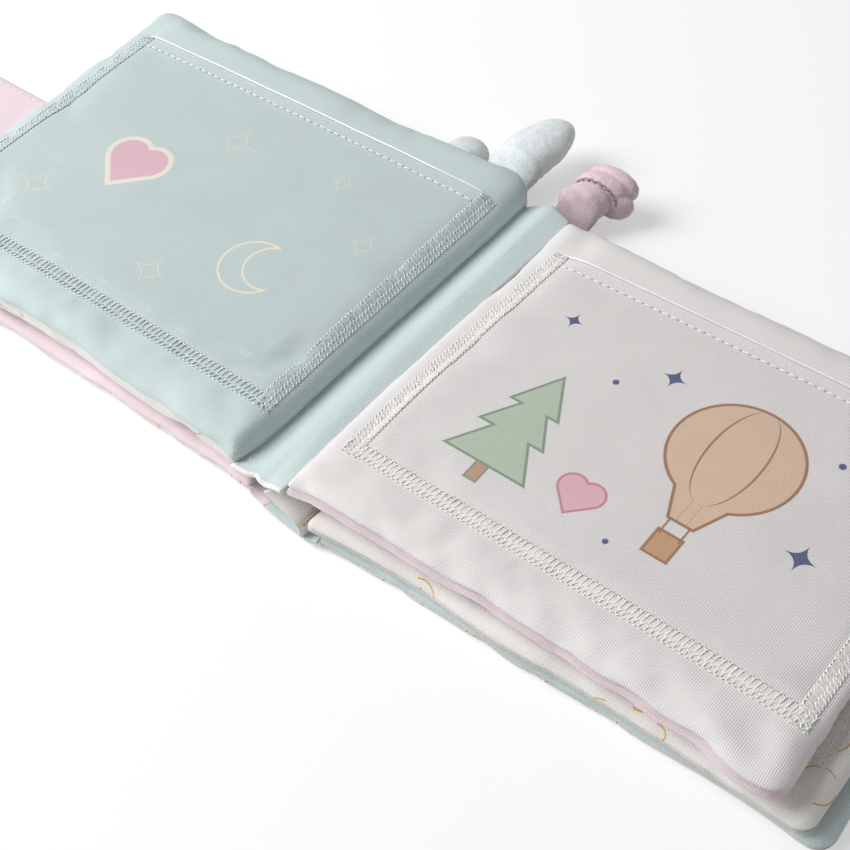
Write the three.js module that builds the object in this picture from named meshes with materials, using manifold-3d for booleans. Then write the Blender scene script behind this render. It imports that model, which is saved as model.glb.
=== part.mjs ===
// Fabric photo album for a baby, lying open: two padded covers on a soft spine, three padded leaves with
// clear photo windows, gusset strips between the leaves, a closing strap and three plush tabs.
// Millimetres. X runs along the spread to the right, Y away from the reader, Z up.
// The origin is on the table, under the middle of the spine.
import * as THREE from 'three';
import Module from 'manifold-3d';

const wasm = await Module();
wasm.setup();

// Driving dimensions: cloth, gaps and the spine
const CLOTH = 1.0;
const GAP = 0.3;
const SPINE_LEFT = -13.7;
const SPINE_RIGHT = 16.2;
const LINING_JOINT = -2.7;
const SPINE_OVERHANG = 3;

// Leaves: width and length, place of the inner edge, shift of the leaf's middle along the spine, thickness,
// heights of the side seam and of the sewn line above the leaf's own underside; a tilt is how far the far
// edge swings at either end
const LEAF_1 = {
  width: 183, length: 155, inner: -14.5, shift: -1, thickness: 15, seam: 9, stitch: 6.4, round: 9,
  corner: 7, crown: 2, drawIn: 2, tilt: 2.3, side: -1,
};
const LEAF_2 = {
  width: 174.5, length: 145, inner: 5.4, shift: -5.5, thickness: 8.5, seam: 4, stitch: 3, round: 7,
  corner: 6, crown: 1.2, drawIn: 1.2, tilt: 2.3, side: 1,
};
const LEAF_3 = {
  width: 174.5, length: 147, inner: 15, shift: -5.5, thickness: 6, seam: 3, stitch: 2.2, round: 5,
  corner: 6, crown: 0, drawIn: 1.2, tilt: 2.3, side: 1,
};

// Covers, a little longer than the largest leaf
const COVER_MARGIN = 2;
const COVER_LENGTH = LEAF_1.length + COVER_MARGIN;
const COVER_THICKNESS = 7;
const COVER_EDGE_ROUND = 5;
const COVER_CORNER = 8;
const COVER_INNER_CORNER = 2;
const COVER_DRAW_IN = 1.6;
const BACK_COVER_FLARE = 2.5;
const FLARE_POWER = 4;
const FRONT_COVER_WIDTH = 189;
const BACK_COVER_WIDTH = 178.7;

// Photo windows: outer size, distance from the leaf's inner edge and near edge
const WINDOW_1 = { width: 171, length: 118, fromInner: 3.5, fromNear: 16 };
const WINDOW_2 = { width: 164, length: 110, fromInner: 6.6, fromNear: 17.3 };
const WINDOW_3 = { width: 162, length: 110, fromInner: 6.6, fromNear: 17.3 };
const SEAM_BAND = 6.2;
const SEAM_HEIGHT = 0.5;
const FILM = 0.2;
const FILM_ROUGHNESS = 0.2;
const HEM = 6;
const HEM_HEIGHT = 0.4;
const THREAD = 0.7;
const THREAD_HEIGHT = 0.3;

// Gusset strips and the stitched lines that the leaves turn about
const STRIP = 1.2;
const STRIP_BULGE = 2.2;
const STRIP_SETBACK = 2;
const STITCH_RADIUS = 0.65;
const STITCH_SIDES = 8;
const STITCH_SETBACK = 1.1;

// Closing strap with its hook patch, and the loop patch let into the back cover
const STRAP_WIDTH = 36;
const STRAP_INSET = 1.1;
const STRAP_LENGTH = 75;
const STRAP_THICKNESS = 4;
const STRAP_CORNER = 14;
const STRAP_ROUND = 2.5;
const PATCH_LENGTH = 28;
const PATCH_WIDTH = 20;
const HOOK_PATCH = 0.7;
const LOOP_PATCH = 0.4;
const PATCH_FROM_END = 12;

// Plush tabs: root and tip in plan, how far the root is let into the drawn-in edge, half width and half
// thickness at the root, and how much the middle swells and the tip lifts
const TAB_MINT = { root: -31, tip: -26.5, inset: 0.1, reach: 36, half: 9.5, thick: 6, swell: 1.12, lift: 3 };
const TAB_GREY = { root: -54, tip: -52, inset: 0.4, reach: 17, half: 8, thick: 6, swell: 1.1, lift: 1 };
const TAB_PINK = { root: -2, tip: 2.5, inset: 0, reach: 11.5, half: 8.5, thick: 6.5, swell: 1.08, lift: 1 };
const TAB_PINK_END = { root: 2.8, tip: 6.5, inset: 0, reach: 9.5, half: 8.5, thick: 6.5, swell: 1.25, lift: 2 };

// How finely round stretches are cut
const CORNER_STEPS = 3;
const SIDE_STEPS = 3;
const TAB_SIDES = 12;
const TAB_RINGS = 7;
const TAB_END_POWER = 5;
const CROWN_STEPS = 6;
const BULGE_STEPS = 6;
const FACE_SHARES = [0, 0.2, 0.6, 1];
const CROWN_SHARES = [0.66, 0.33];

const COLOURS = {
  mint: 0xc6dcda, white: 0xe4dfdc, pink: 0xecd4dc, cream: 0xefe8da, wadding: 0xf4f2ee, film: 0xf0f4f4,
  tealThread: 0x9fbfc4, ivoryThread: 0xf2ede2, tanThread: 0xcbb89c, plushMint: 0xdce4e6, plushGrey: 0xc4cfce,
  plushPink: 0xd3b9c0, patch: 0xefe9e6,
};

const album = new THREE.Group();

function material(colour, roughness = 0.92) {
  return new THREE.MeshStandardMaterial({ color: COLOURS[colour], roughness, metalness: 0 });
}

function addPiece(name, geometry, colour, roughness) {
  const piece = new THREE.Mesh(geometry, material(colour, roughness));
  piece.name = name;
  album.add(piece);
  return piece;
}

function geometryFrom(points, triangles) {
  const geometry = new THREE.BufferGeometry();
  geometry.setAttribute('position', new THREE.Float32BufferAttribute(points.flat(), 3));
  geometry.setIndex(triangles.flat());
  return geometry;
}

// A closed skin over rings of points, from one pole to the other;
// each ring turns anticlockwise about that way
function closedSkin(firstPole, rings, lastPole) {
  const count = rings[0].length;
  const points = [firstPole, ...rings.flat(), lastPole];
  const last = points.length - 1;
  const at = (ring, i) => 1 + ring * count + (i % count);
  const triangles = [];
  for (let i = 0; i < count; i += 1) {
    triangles.push([0, at(0, i + 1), at(0, i)]);
    triangles.push([last, at(rings.length - 1, i), at(rings.length - 1, i + 1)]);
    for (let ring = 0; ring < rings.length - 1; ring += 1) {
      triangles.push([at(ring, i), at(ring, i + 1), at(ring + 1, i + 1)]);
      triangles.push([at(ring, i), at(ring + 1, i + 1), at(ring + 1, i)]);
    }
  }
  return geometryFrom(points, triangles);
}

// A closed bar through four-cornered sections, anticlockwise about its direction of travel
function closedBar(sections) {
  const points = sections.flat();
  const triangles = [];
  const end = 4 * (sections.length - 1);
  triangles.push([0, 2, 1], [0, 3, 2], [end, end + 1, end + 2], [end, end + 2, end + 3]);
  for (let s = 0; s < end; s += 4) {
    for (let i = 0; i < 4; i += 1) {
      const j = (i + 1) % 4;
      triangles.push([s + i, s + j, s + 4 + j], [s + i, s + 4 + j, s + 4 + i]);
    }
  }
  return geometryFrom(points, triangles);
}

// A padded panel in plan: its box, its corner radii from far right round to near right, its sewn side,
// how far its free sides are drawn in, its far edge is tilted and its sewn end flares
function panel(x0, x1, y0, y1, corners, side, { drawIn = 0, tilt = 0, flare = 0 }) {
  const middle = { x: (x0 + x1) / 2, y: (y0 + y1) / 2 };
  const halfX = (x1 - x0) / 2;
  const halfY = (y1 - y0) / 2;
  return { x0, x1, y0, y1, corners, side, drawIn, tilt, flare, middle, halfX, halfY };
}

// The place of a point in the length of a panel, with the far edge's tilt
function tilted(shape, x, y) {
  const u = (x - shape.middle.x) / shape.halfX;
  const v = (y - shape.middle.y) / shape.halfY;
  return y + (shape.tilt * u * (1 + v)) / 2;
}

// Free sides are drawn in between the corners; the sewn side stays straight
function drawnIn(shape, x, y) {
  const u = (x - shape.middle.x) / shape.halfX;
  const v = (y - shape.middle.y) / shape.halfY;
  const free = u * shape.side > 0 ? Math.abs(u) : 0;
  const dx = -Math.sign(u) * free * shape.drawIn * (1 - v * v);
  const flare = shape.flare * ((1 - u * shape.side) / 2) ** FLARE_POWER;
  const dy = v * (flare - shape.drawIn * (1 - u * u));
  return [x + dx, tilted(shape, x, y + dy)];
}

// The panel's outline, moved in by an inset and turning anticlockwise from the far right corner
function outline(shape, inset) {
  const points = [];
  const x = [shape.x1 - inset, shape.x0 + inset, shape.x0 + inset, shape.x1 - inset];
  const y = [shape.y1 - inset, shape.y1 - inset, shape.y0 + inset, shape.y0 + inset];
  const signX = [1, -1, -1, 1];
  const signY = [1, 1, -1, -1];
  const corner = (k, step) => {
    const radius = Math.max(shape.corners[k] - inset, CLOTH / 2);
    const angle = (Math.PI / 2) * (k + step / CORNER_STEPS);
    const cx = x[k] - signX[k] * radius;
    const cy = y[k] - signY[k] * radius;
    return [cx + radius * Math.cos(angle), cy + radius * Math.sin(angle)];
  };
  for (let k = 0; k < 4; k += 1) {
    for (let step = 0; step <= CORNER_STEPS; step += 1) {
      points.push(corner(k, step));
    }
    const from = corner(k, CORNER_STEPS);
    const to = corner((k + 1) % 4, 0);
    for (let step = 1; step < SIDE_STEPS; step += 1) {
      const t = step / SIDE_STEPS;
      points.push([from[0] + t * (to[0] - from[0]), from[1] + t * (to[1] - from[1])]);
    }
  }
  return points.map(([px, py]) => drawnIn(shape, px, py));
}

// How far the skin has risen at a distance from the edge, from 0 at the seam to 1 on the flat
function rise(distance, round) {
  const t = Math.min(distance / round, 1);
  return Math.sqrt(1 - (1 - t) * (1 - t));
}

// The crown of a padded face over its panel
function crownAt(shape, crown, x, y) {
  const u = (x - shape.middle.x) / shape.halfX;
  const v = (y - shape.middle.y) / shape.halfY;
  return crown * Math.max(0, 1 - u * u) * Math.max(0, 1 - v * v);
}

// Rings of a rounded face from the edge to the flat, and on over the crown towards the middle
function faceRings(shape, face, inset, drop) {
  const rings = FACE_SHARES.map((share) => {
    const distance = share * face.round;
    const height = Math.max(rise(distance, face.round) * face.height - drop, 0);
    return outline(shape, inset + distance).map(([x, y]) => lifted(shape, face, x, y, height));
  });
  const flat = outline(shape, inset + face.round);
  for (const share of face.crown > 0 ? CROWN_SHARES : []) {
    rings.push(flat.map(([x, y]) => {
      const px = shape.middle.x + share * (x - shape.middle.x);
      const py = shape.middle.y + share * (y - shape.middle.y);
      return lifted(shape, face, px, py, face.height - drop);
    }));
  }
  return rings;
}

// A point of a face: height above the seam plane, upwards or downwards, with the crown added
function lifted(shape, face, x, y, height) {
  const share = face.height > 0 ? Math.min(height / face.height, 1) : 0;
  return [x, y, face.seam + face.way * (height + share * crownAt(shape, face.crown, x, y))];
}

function pole(shape, face, drop) {
  return lifted(shape, face, shape.middle.x, shape.middle.y, face.height - drop);
}

// One cloth of a padded panel: a shallow dish with its rim on the seam plane
function clothDish(shape, face) {
  const outside = faceRings(shape, face, 0, 0);
  const inside = faceRings(shape, face, CLOTH, CLOTH);
  const outer = pole(shape, face, 0);
  const inner = pole(shape, face, CLOTH);
  if (face.way > 0) {
    return closedSkin(inner, [...inside.reverse(), ...outside], outer);
  }
  return closedSkin(outer, [...outside.reverse(), ...inside], inner);
}

// The wadding inside both cloths
function waddingBody(shape, upper, lower) {
  const clear = CLOTH + GAP;
  const above = faceRings(shape, upper, clear, clear).slice(1);
  const below = faceRings(shape, lower, clear, clear).slice(1);
  return closedSkin(pole(shape, lower, clear), [...below.reverse(), ...above], pole(shape, upper, clear));
}

// Both cloths and the wadding of a padded panel, between a lower and an upper height
function paddedPanel(name, shape, heights, round, crown, colours, upperName, lowerName) {
  const half = GAP / 2;
  const upper = {
    seam: heights.seam + half, height: heights.high - heights.seam - half, round, crown, way: 1,
  };
  const lower = {
    seam: heights.seam - half, height: heights.seam - half - heights.low, round, crown: 0, way: -1,
  };
  addPiece(`${name}_${upperName}`, clothDish(shape, upper), colours.upper);
  const under = addPiece(`${name}_${lowerName}`, clothDish(shape, lower), colours.lower);
  addPiece(`${name}_wadding`, waddingBody(shape, upper, lower), 'wadding');
  return { upper, lower, under };
}

// A thin slab over a grid of places, between two height functions
function gridSlab(xs, ys, low, high, along = (x, y) => y) {
  const points = [];
  const triangles = [];
  const count = xs.length * ys.length;
  const at = (i, j, top) => (top ? count : 0) + j * xs.length + i;
  for (const height of [low, high]) {
    for (const y of ys) {
      for (const x of xs) {
        points.push([x, along(x, y), height(x, y)]);
      }
    }
  }
  const quad = (a, b, c, d) => triangles.push([a, b, c], [a, c, d]);
  const lastX = xs.length - 1;
  const lastY = ys.length - 1;
  for (let j = 0; j < lastY; j += 1) {
    for (let i = 0; i < lastX; i += 1) {
      quad(at(i, j, 1), at(i + 1, j, 1), at(i + 1, j + 1, 1), at(i, j + 1, 1));
      quad(at(i, j, 0), at(i, j + 1, 0), at(i + 1, j + 1, 0), at(i + 1, j, 0));
    }
    quad(at(0, j + 1, 0), at(0, j, 0), at(0, j, 1), at(0, j + 1, 1));
    quad(at(lastX, j, 0), at(lastX, j + 1, 0), at(lastX, j + 1, 1), at(lastX, j, 1));
  }
  for (let i = 0; i < lastX; i += 1) {
    quad(at(i, 0, 0), at(i + 1, 0, 0), at(i + 1, 0, 1), at(i, 0, 1));
    quad(at(i + 1, lastY, 0), at(i, lastY, 0), at(i, lastY, 1), at(i + 1, lastY, 1));
  }
  return geometryFrom(points, triangles);
}

function spread(from, to, steps) {
  return Array.from({ length: steps + 1 }, (_, i) => from + ((to - from) * i) / steps);
}

// A layer of a window: heights above the page, or below it on a lower face
function layer(surface, way, from, to) {
  const near = (x, y) => surface(x, y) + way * from;
  const away = (x, y) => surface(x, y) + way * to;
  return way > 0 ? [near, away] : [away, near];
}

// Near and far end of a leaf
function nearEnd(leaf) {
  return leaf.shift - leaf.length / 2;
}

function farEnd(leaf) {
  return leaf.shift + leaf.length / 2;
}

// A window: clear film with a folded top hem, the overlock seam round three sides, and the hem's stitching
function addWindow(name, size, leaf, shape, surface, way, crowned, threadColour) {
  const along = (x, y) => tilted(shape, x, y);
  const steps = crowned ? CROWN_STEPS : 1;
  const inner = leaf.inner + leaf.side * size.fromInner;
  const outer = inner + leaf.side * size.width;
  const x0 = Math.min(inner, outer);
  const x1 = Math.max(inner, outer);
  const y0 = nearEnd(leaf) + size.fromNear;
  const y1 = y0 + size.length;
  const filmLow = y0 + SEAM_BAND + GAP;
  const hemLine = y1 - HEM;
  const filmX = spread(x0 + SEAM_BAND + GAP, x1 - SEAM_BAND - GAP, steps);
  const filmY = [...spread(filmLow, hemLine - GAP, steps), hemLine, y1];
  const [filmNear, filmAway] = layer(surface, way, GAP, GAP + FILM);
  const [hemNear, hemAway] = layer(surface, way, GAP, GAP + HEM_HEIGHT);
  const inHem = (y) => y >= hemLine;
  addPiece(
    `${name}_film`,
    gridSlab(
      filmX,
      filmY,
      (x, y) => (inHem(y) ? hemNear(x, y) : filmNear(x, y)),
      (x, y) => (inHem(y) ? hemAway(x, y) : filmAway(x, y)),
      along,
    ),
    'film',
    FILM_ROUGHNESS,
  );

  const [seamLow, seamHigh] = layer(surface, way, GAP, GAP + SEAM_HEIGHT);
  const band = (xOut, yOut, xIn, yIn) => [
    [xOut, along(xOut, yOut), seamLow(xOut, yOut)],
    [xIn, along(xIn, yIn), seamLow(xIn, yIn)],
    [xIn, along(xIn, yIn), seamHigh(xIn, yIn)],
    [xOut, along(xOut, yOut), seamHigh(xOut, yOut)],
  ];
  const left = spread(y1, y0, steps).map((y) => {
    const inside = Math.max(y, y0 + SEAM_BAND);
    return band(x0, y, x0 + SEAM_BAND, inside);
  });
  const right = spread(y0, y1, steps).map((y) => {
    const inside = Math.max(y, y0 + SEAM_BAND);
    return band(x1, y, x1 - SEAM_BAND, inside);
  });
  const bottom = spread(x0, x1, steps + 1).slice(1, -1).map((x) => {
    const inside = Math.min(Math.max(x, x0 + SEAM_BAND), x1 - SEAM_BAND);
    return band(x, y0, inside, y0 + SEAM_BAND);
  });
  addPiece(`${name}_overlock_seam`, closedBar([...left, ...bottom, ...right]), threadColour);

  const threadY = [hemLine + GAP, hemLine + GAP + THREAD];
  const base = GAP + HEM_HEIGHT + GAP;
  const [threadNear, threadAway] = layer(surface, way, base, base + THREAD_HEIGHT);
  addPiece(`${name}_hem_stitch`, gridSlab(filmX, threadY, threadNear, threadAway, along), 'ivoryThread');
}

// Where a leaf lies in plan, with straight corners on its sewn side rounded as on the others
function leafShape(leaf) {
  const outer = leaf.inner + leaf.side * leaf.width;
  const x0 = Math.min(leaf.inner, outer);
  const x1 = Math.max(leaf.inner, outer);
  const corners = [leaf.corner, leaf.corner, leaf.corner, leaf.corner];
  return panel(x0, x1, nearEnd(leaf), farEnd(leaf), corners, leaf.side, leaf);
}

// A leaf and its two windows, standing on a height
function addLeaf(name, leaf, window, floor, colours, threadColours) {
  const shape = leafShape(leaf);
  const heights = { low: floor, seam: floor + leaf.seam, high: floor + leaf.thickness };
  paddedPanel(name, shape, heights, leaf.round, leaf.crown, colours, 'upper_cloth', 'lower_cloth');
  const top = (x, y) => heights.high + crownAt(shape, leaf.crown, x, tilted(shape, x, y));
  const bottom = () => heights.low;
  addWindow(`${name}_upper_window`, window, leaf, shape, top, 1, leaf.crown > 0, threadColours.upper);
  addWindow(`${name}_lower_window`, window, leaf, shape, bottom, -1, false, threadColours.lower);
}

// The height that a window needs over or under a page, with its clearance
const WINDOW_ROOM = GAP + HEM_HEIGHT + GAP + THREAD_HEIGHT + GAP;
const LEAF_1_FLOOR = COVER_THICKNESS + WINDOW_ROOM;
const LEAF_3_FLOOR = COVER_THICKNESS + WINDOW_ROOM;
const LEAF_2_FLOOR = LEAF_3_FLOOR + LEAF_3.thickness + 2 * WINDOW_ROOM - GAP;

addLeaf('leaf_1', LEAF_1, WINDOW_1, LEAF_1_FLOOR,
  { upper: 'mint', lower: 'cream' }, { upper: 'tealThread', lower: 'ivoryThread' });
addLeaf('leaf_2', LEAF_2, WINDOW_2, LEAF_2_FLOOR,
  { upper: 'white', lower: 'pink' }, { upper: 'ivoryThread', lower: 'ivoryThread' });
addLeaf('leaf_3', LEAF_3, WINDOW_3, LEAF_3_FLOOR,
  { upper: 'cream', lower: 'cream' }, { upper: 'ivoryThread', lower: 'ivoryThread' });

// Covers on either side of the spine
const coverNear = -COVER_LENGTH / 2;
const coverFar = COVER_LENGTH / 2;
const frontInner = SPINE_LEFT - GAP;
const frontOuter = frontInner - FRONT_COVER_WIDTH;
const backInner = SPINE_RIGHT + GAP;
const backOuter = backInner + BACK_COVER_WIDTH;
const coverHeights = { low: 0, seam: COVER_THICKNESS / 2, high: COVER_THICKNESS };

const frontShape = panel(frontOuter, frontInner, coverNear, coverFar,
  [COVER_INNER_CORNER, COVER_CORNER, COVER_CORNER, COVER_INNER_CORNER], -1, { drawIn: COVER_DRAW_IN });
const backShape = panel(backInner, backOuter, coverNear, coverFar,
  [COVER_CORNER, COVER_INNER_CORNER, COVER_INNER_CORNER, COVER_CORNER], 1,
  { drawIn: COVER_DRAW_IN, flare: BACK_COVER_FLARE });
paddedPanel('front_cover', frontShape, coverHeights, COVER_EDGE_ROUND, 0,
  { upper: 'pink', lower: 'cream' }, 'lining', 'outer_cloth');
const back = paddedPanel('back_cover', backShape, coverHeights, COVER_EDGE_ROUND, 0,
  { upper: 'mint', lower: 'cream' }, 'lining', 'outer_cloth');

// A closed mesh as a solid that can be cut, and back again
function solidFrom(geometry) {
  const vertProperties = new Float32Array(geometry.getAttribute('position').array);
  const triVerts = new Uint32Array(geometry.getIndex().array);
  return new wasm.Manifold(new wasm.Mesh({ numProp: 3, vertProperties, triVerts }));
}

function geometryOf(solid) {
  const mesh = solid.getMesh();
  const geometry = new THREE.BufferGeometry();
  geometry.setAttribute('position', new THREE.BufferAttribute(mesh.vertProperties, 3));
  geometry.setIndex(new THREE.BufferAttribute(mesh.triVerts, 1));
  return geometry;
}

function boxBetween(x0, x1, y0, y1, z0, z1) {
  const low = () => z0;
  const high = () => z1;
  return gridSlab([x0, x1], [y0, y1], low, high);
}

// The loop patch lies flush in the back cover's outside, near the edge that the strap comes round
const loopRight = backOuter - COVER_EDGE_ROUND - PATCH_FROM_END;
const loopLeft = loopRight - PATCH_WIDTH;
const pocket = boxBetween(loopLeft - GAP, loopRight + GAP, -PATCH_LENGTH / 2 - GAP, PATCH_LENGTH / 2 + GAP,
  -GAP, LOOP_PATCH + GAP);
back.under.geometry = geometryOf(solidFrom(back.under.geometry).subtract(solidFrom(pocket)));
addPiece('loop_patch',
  boxBetween(loopLeft, loopRight, -PATCH_LENGTH / 2, PATCH_LENGTH / 2, 0, LOOP_PATCH), 'patch');

// Spine: outer cloth, and a lining in two colours joined under the ridge;
// it is longer than the drawn-in covers
const spineNear = coverNear - SPINE_OVERHANG;
const spineFar = coverFar + SPINE_OVERHANG;
const liningLow = CLOTH + GAP;
const liningHigh = liningLow + CLOTH;
addPiece('spine_outer_cloth', boxBetween(SPINE_LEFT, SPINE_RIGHT, spineNear, spineFar, 0, CLOTH), 'cream');
addPiece('spine_pink_lining',
  boxBetween(SPINE_LEFT, LINING_JOINT - GAP / 2, spineNear, spineFar, liningLow, liningHigh), 'pink');
addPiece('spine_mint_lining',
  boxBetween(LINING_JOINT + GAP / 2, SPINE_RIGHT, spineNear, spineFar, liningLow, liningHigh), 'mint');

// Where a leaf is sewn in: a line along Y just off its inner edge
function stitchOf(leaf, floor) {
  return {
    x: leaf.inner - leaf.side * STITCH_SETBACK,
    z: floor + leaf.stitch,
    near: nearEnd(leaf) + STRIP_SETBACK,
    far: farEnd(leaf) - STRIP_SETBACK,
  };
}
const stitch1 = stitchOf(LEAF_1, LEAF_1_FLOOR);
const stitch2 = stitchOf(LEAF_2, LEAF_2_FLOOR);
const stitch3 = stitchOf(LEAF_3, LEAF_3_FLOOR);

// A line of chain stitching
function addStitch(name, stitch, colour) {
  const length = stitch.far - stitch.near;
  const rod = new THREE.CylinderGeometry(STITCH_RADIUS, STITCH_RADIUS, length, STITCH_SIDES);
  const piece = addPiece(name, rod, colour);
  piece.position.set(stitch.x, (stitch.near + stitch.far) / 2, stitch.z);
}
addStitch('leaf_1_valley_stitch', stitch1, 'tanThread');
addStitch('leaf_2_ridge_stitch', stitch2, 'ivoryThread');
addStitch('leaf_3_valley_stitch', stitch3, 'tanThread');

// A strip of doubled cloth along Y: its section in X and Z lies between an upper and a lower line
function addStrip(name, upperLine, lowerLine, near, far, colour) {
  const section = new THREE.Shape();
  upperLine.forEach(([x, z], i) => (i ? section.lineTo(x, z) : section.moveTo(x, z)));
  [...lowerLine].reverse().forEach(([x, z]) => section.lineTo(x, z));
  section.closePath();
  const strip = new THREE.ExtrudeGeometry(section, { depth: far - near, bevelEnabled: false });
  strip.rotateX(Math.PI / 2);
  const piece = addPiece(name, strip, colour);
  piece.position.y = far;
}

// The mint strip stands on the spine beside leaf 1's stitching and runs over, rounded, to leaf 2's ridge
const footHeight = liningHigh + GAP;
const stitchClear = STITCH_RADIUS + GAP;
const mintLeft = stitch1.x + stitchClear;
const mintRight = stitch2.x - stitchClear;
const mintTop = spread(0, 1, BULGE_STEPS).map((t) => [
  mintLeft + t * (mintRight - mintLeft),
  stitch1.z + t * (stitch2.z - stitch1.z) + STRIP_BULGE * Math.sin(Math.PI * t),
]);
const mintUnder = mintTop.slice(1).map(([x, z]) => [x, z - STRIP]);
addStrip('mint_gusset_strip',
  [[mintLeft, footHeight], ...mintTop],
  [[mintLeft + STRIP, footHeight], [mintLeft + STRIP, mintTop[0][1] - STRIP / 2], ...mintUnder],
  stitch1.near, stitch1.far, 'mint');

// The cream strip leaves the ridge under leaf 2 and slopes to leaf 3's stitching, then down to the spine
const creamRidge = { x: stitch2.x, z: stitch2.z - stitchClear };
const creamFoot = stitch3.x - stitchClear;
addStrip('cream_gusset_strip',
  [[creamRidge.x, creamRidge.z], [creamFoot, stitch3.z], [creamFoot, footHeight]],
  [[creamRidge.x, creamRidge.z - 2 * STRIP], [creamFoot - STRIP, stitch3.z - STRIP],
    [creamFoot - STRIP, footHeight]],
  stitch2.near, stitch2.far, 'cream');

// Closing strap against the front cover's drawn-in outer edge
const strapInner = frontOuter + STRAP_INSET;
const strapOuter = strapInner - STRAP_LENGTH;
const strapShape = panel(strapOuter, strapInner, -STRAP_WIDTH / 2, STRAP_WIDTH / 2,
  [COVER_INNER_CORNER, STRAP_CORNER, STRAP_CORNER, COVER_INNER_CORNER], -1, {});
const strapSeam = STRAP_THICKNESS / 2;
const strapFaces = [
  { seam: strapSeam + GAP / 2, height: strapSeam - GAP / 2, round: STRAP_ROUND, crown: 0, way: 1 },
  { seam: strapSeam - GAP / 2, height: strapSeam - GAP / 2, round: STRAP_ROUND, crown: 0, way: -1 },
];
addPiece('closing_strap_inner_cloth', clothDish(strapShape, strapFaces[0]), 'pink');
addPiece('closing_strap_outer_cloth', clothDish(strapShape, strapFaces[1]), 'cream');
const hookLeft = strapOuter + PATCH_FROM_END;
addPiece('hook_patch',
  boxBetween(hookLeft, hookLeft + PATCH_WIDTH, -PATCH_LENGTH / 2, PATCH_LENGTH / 2,
    STRAP_THICKNESS + GAP, STRAP_THICKNESS + GAP + HOOK_PATCH), 'patch');

// A plush limb from its root out along Y: it swells in the middle, tapers and ends round
function addTab(name, tab, edge, colour) {
  const rootY = edge + GAP - tab.inset;
  const rings = [];
  for (let k = 0; k < TAB_RINGS; k += 1) {
    const t = k / TAB_RINGS;
    const roundEnd = Math.sqrt(1 - t ** TAB_END_POWER);
    const wide = tab.half * (1 + (tab.swell - 1) * Math.sin(Math.PI * t)) * roundEnd;
    const deep = tab.thick * (1 + (tab.swell - 1) * Math.sin(Math.PI * t)) * roundEnd;
    const x = tab.root + t * (tab.tip - tab.root);
    const y = rootY + t * tab.reach;
    const z = tab.thick * tab.swell + t * tab.lift;
    rings.push(spread(0, 2 * Math.PI, TAB_SIDES).slice(0, TAB_SIDES).map((angle) => [
      x + wide * Math.sin(angle), y, z + deep * Math.cos(angle),
    ]));
  }
  const root = [tab.root, rootY, tab.thick * tab.swell];
  const tip = [tab.tip, rootY + tab.reach, tab.thick * tab.swell + tab.lift];
  addPiece(name, closedSkin(root, rings, tip), colour);
}
addTab('mint_plush_tab', TAB_MINT, coverFar, 'plushMint');
addTab('grey_plush_tab', TAB_GREY, coverFar, 'plushGrey');
addTab('pink_plush_tab', TAB_PINK, spineFar, 'plushPink');
addTab('pink_plush_tab_end', TAB_PINK_END, spineFar + TAB_PINK.reach + GAP, 'plushPink');

export default album;
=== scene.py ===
"""Dresses the fabric photo album: padded leaves and covers in ribbed jersey, clear photo windows sewn down
with overlock stitching, soft gussets on a cloth spine, a closing strap and plush tabs.
Lengths in the code are millimetres unless a name ends in _M; meshes and the frame's calls take metres."""
import math

import bpy
import numpy as np
from mathutils import Matrix, Vector, kdtree, noise
from mathutils.bvhtree import BVHTree


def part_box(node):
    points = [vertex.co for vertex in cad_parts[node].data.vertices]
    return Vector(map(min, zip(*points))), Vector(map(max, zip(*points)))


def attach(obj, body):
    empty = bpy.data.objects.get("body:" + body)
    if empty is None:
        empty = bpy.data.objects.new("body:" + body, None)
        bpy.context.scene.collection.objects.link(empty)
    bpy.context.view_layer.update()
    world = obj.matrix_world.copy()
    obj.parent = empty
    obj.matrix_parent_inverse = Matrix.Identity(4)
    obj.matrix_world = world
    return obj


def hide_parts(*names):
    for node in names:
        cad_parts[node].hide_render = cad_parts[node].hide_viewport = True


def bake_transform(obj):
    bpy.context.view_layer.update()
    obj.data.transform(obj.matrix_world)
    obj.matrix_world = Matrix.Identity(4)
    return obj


bl_info = {
    "name": "Fabric photo album",
    "version": (1, 0, 0),
    "blender": (4, 5, 0),
    "location": "View3D > Sidebar > Album",
    "description": "Makes the cloth, film and stitching of a padded photo album over its solids",
    "category": "Object",
}

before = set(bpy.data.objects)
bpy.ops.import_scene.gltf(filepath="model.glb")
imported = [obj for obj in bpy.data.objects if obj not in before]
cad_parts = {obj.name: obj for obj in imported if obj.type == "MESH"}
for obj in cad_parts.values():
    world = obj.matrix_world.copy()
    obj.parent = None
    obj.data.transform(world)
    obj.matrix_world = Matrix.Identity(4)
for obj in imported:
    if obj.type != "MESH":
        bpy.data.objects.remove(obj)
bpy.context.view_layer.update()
MM = 0.001

# Windows: outer box in plan, the band that is sewn down on three sides and the hem on the open one
WINDOWS = {
    "leaf_1": ((-189.0, -18.0), (-62.5, 55.5)),
    "leaf_2": ((12.0, 176.0), (-60.7, 49.3)),
    "leaf_3": ((21.6, 183.6), (-61.7, 48.3)),
}
SEAM_BAND = 6.2
HEM = 6.0

# Sewn lines that the leaves turn about, in X and Z
VALLEY_1 = (-13.4, 15.0)
RIDGE_2 = (4.3, 20.5)
VALLEY_3 = (13.9, 10.8)

# Ends of the spine and of the gussets, the height that the gussets stand on, and the joint of the lining
SPINE_NEAR = -81.5
SPINE_FAR = 81.5
MINT_NEAR = -80.3
MINT_FAR = 74.5
CREAM_NEAR = -82.2
CREAM_FAR = 62.6
GUSSET_FOOT = 2.8
LINING_JOINT = -2.7

# The gutter leans to the right: where that starts, its slope, how softly it starts, its limit, and the first
# valley's share of it
LEAN_START = -36.0
LEAN_SLOPE = 0.044
LEAN_EASE = 12.0
LEAN_LIMIT = 3.2
VALLEY_LEAN = 0.6

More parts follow.
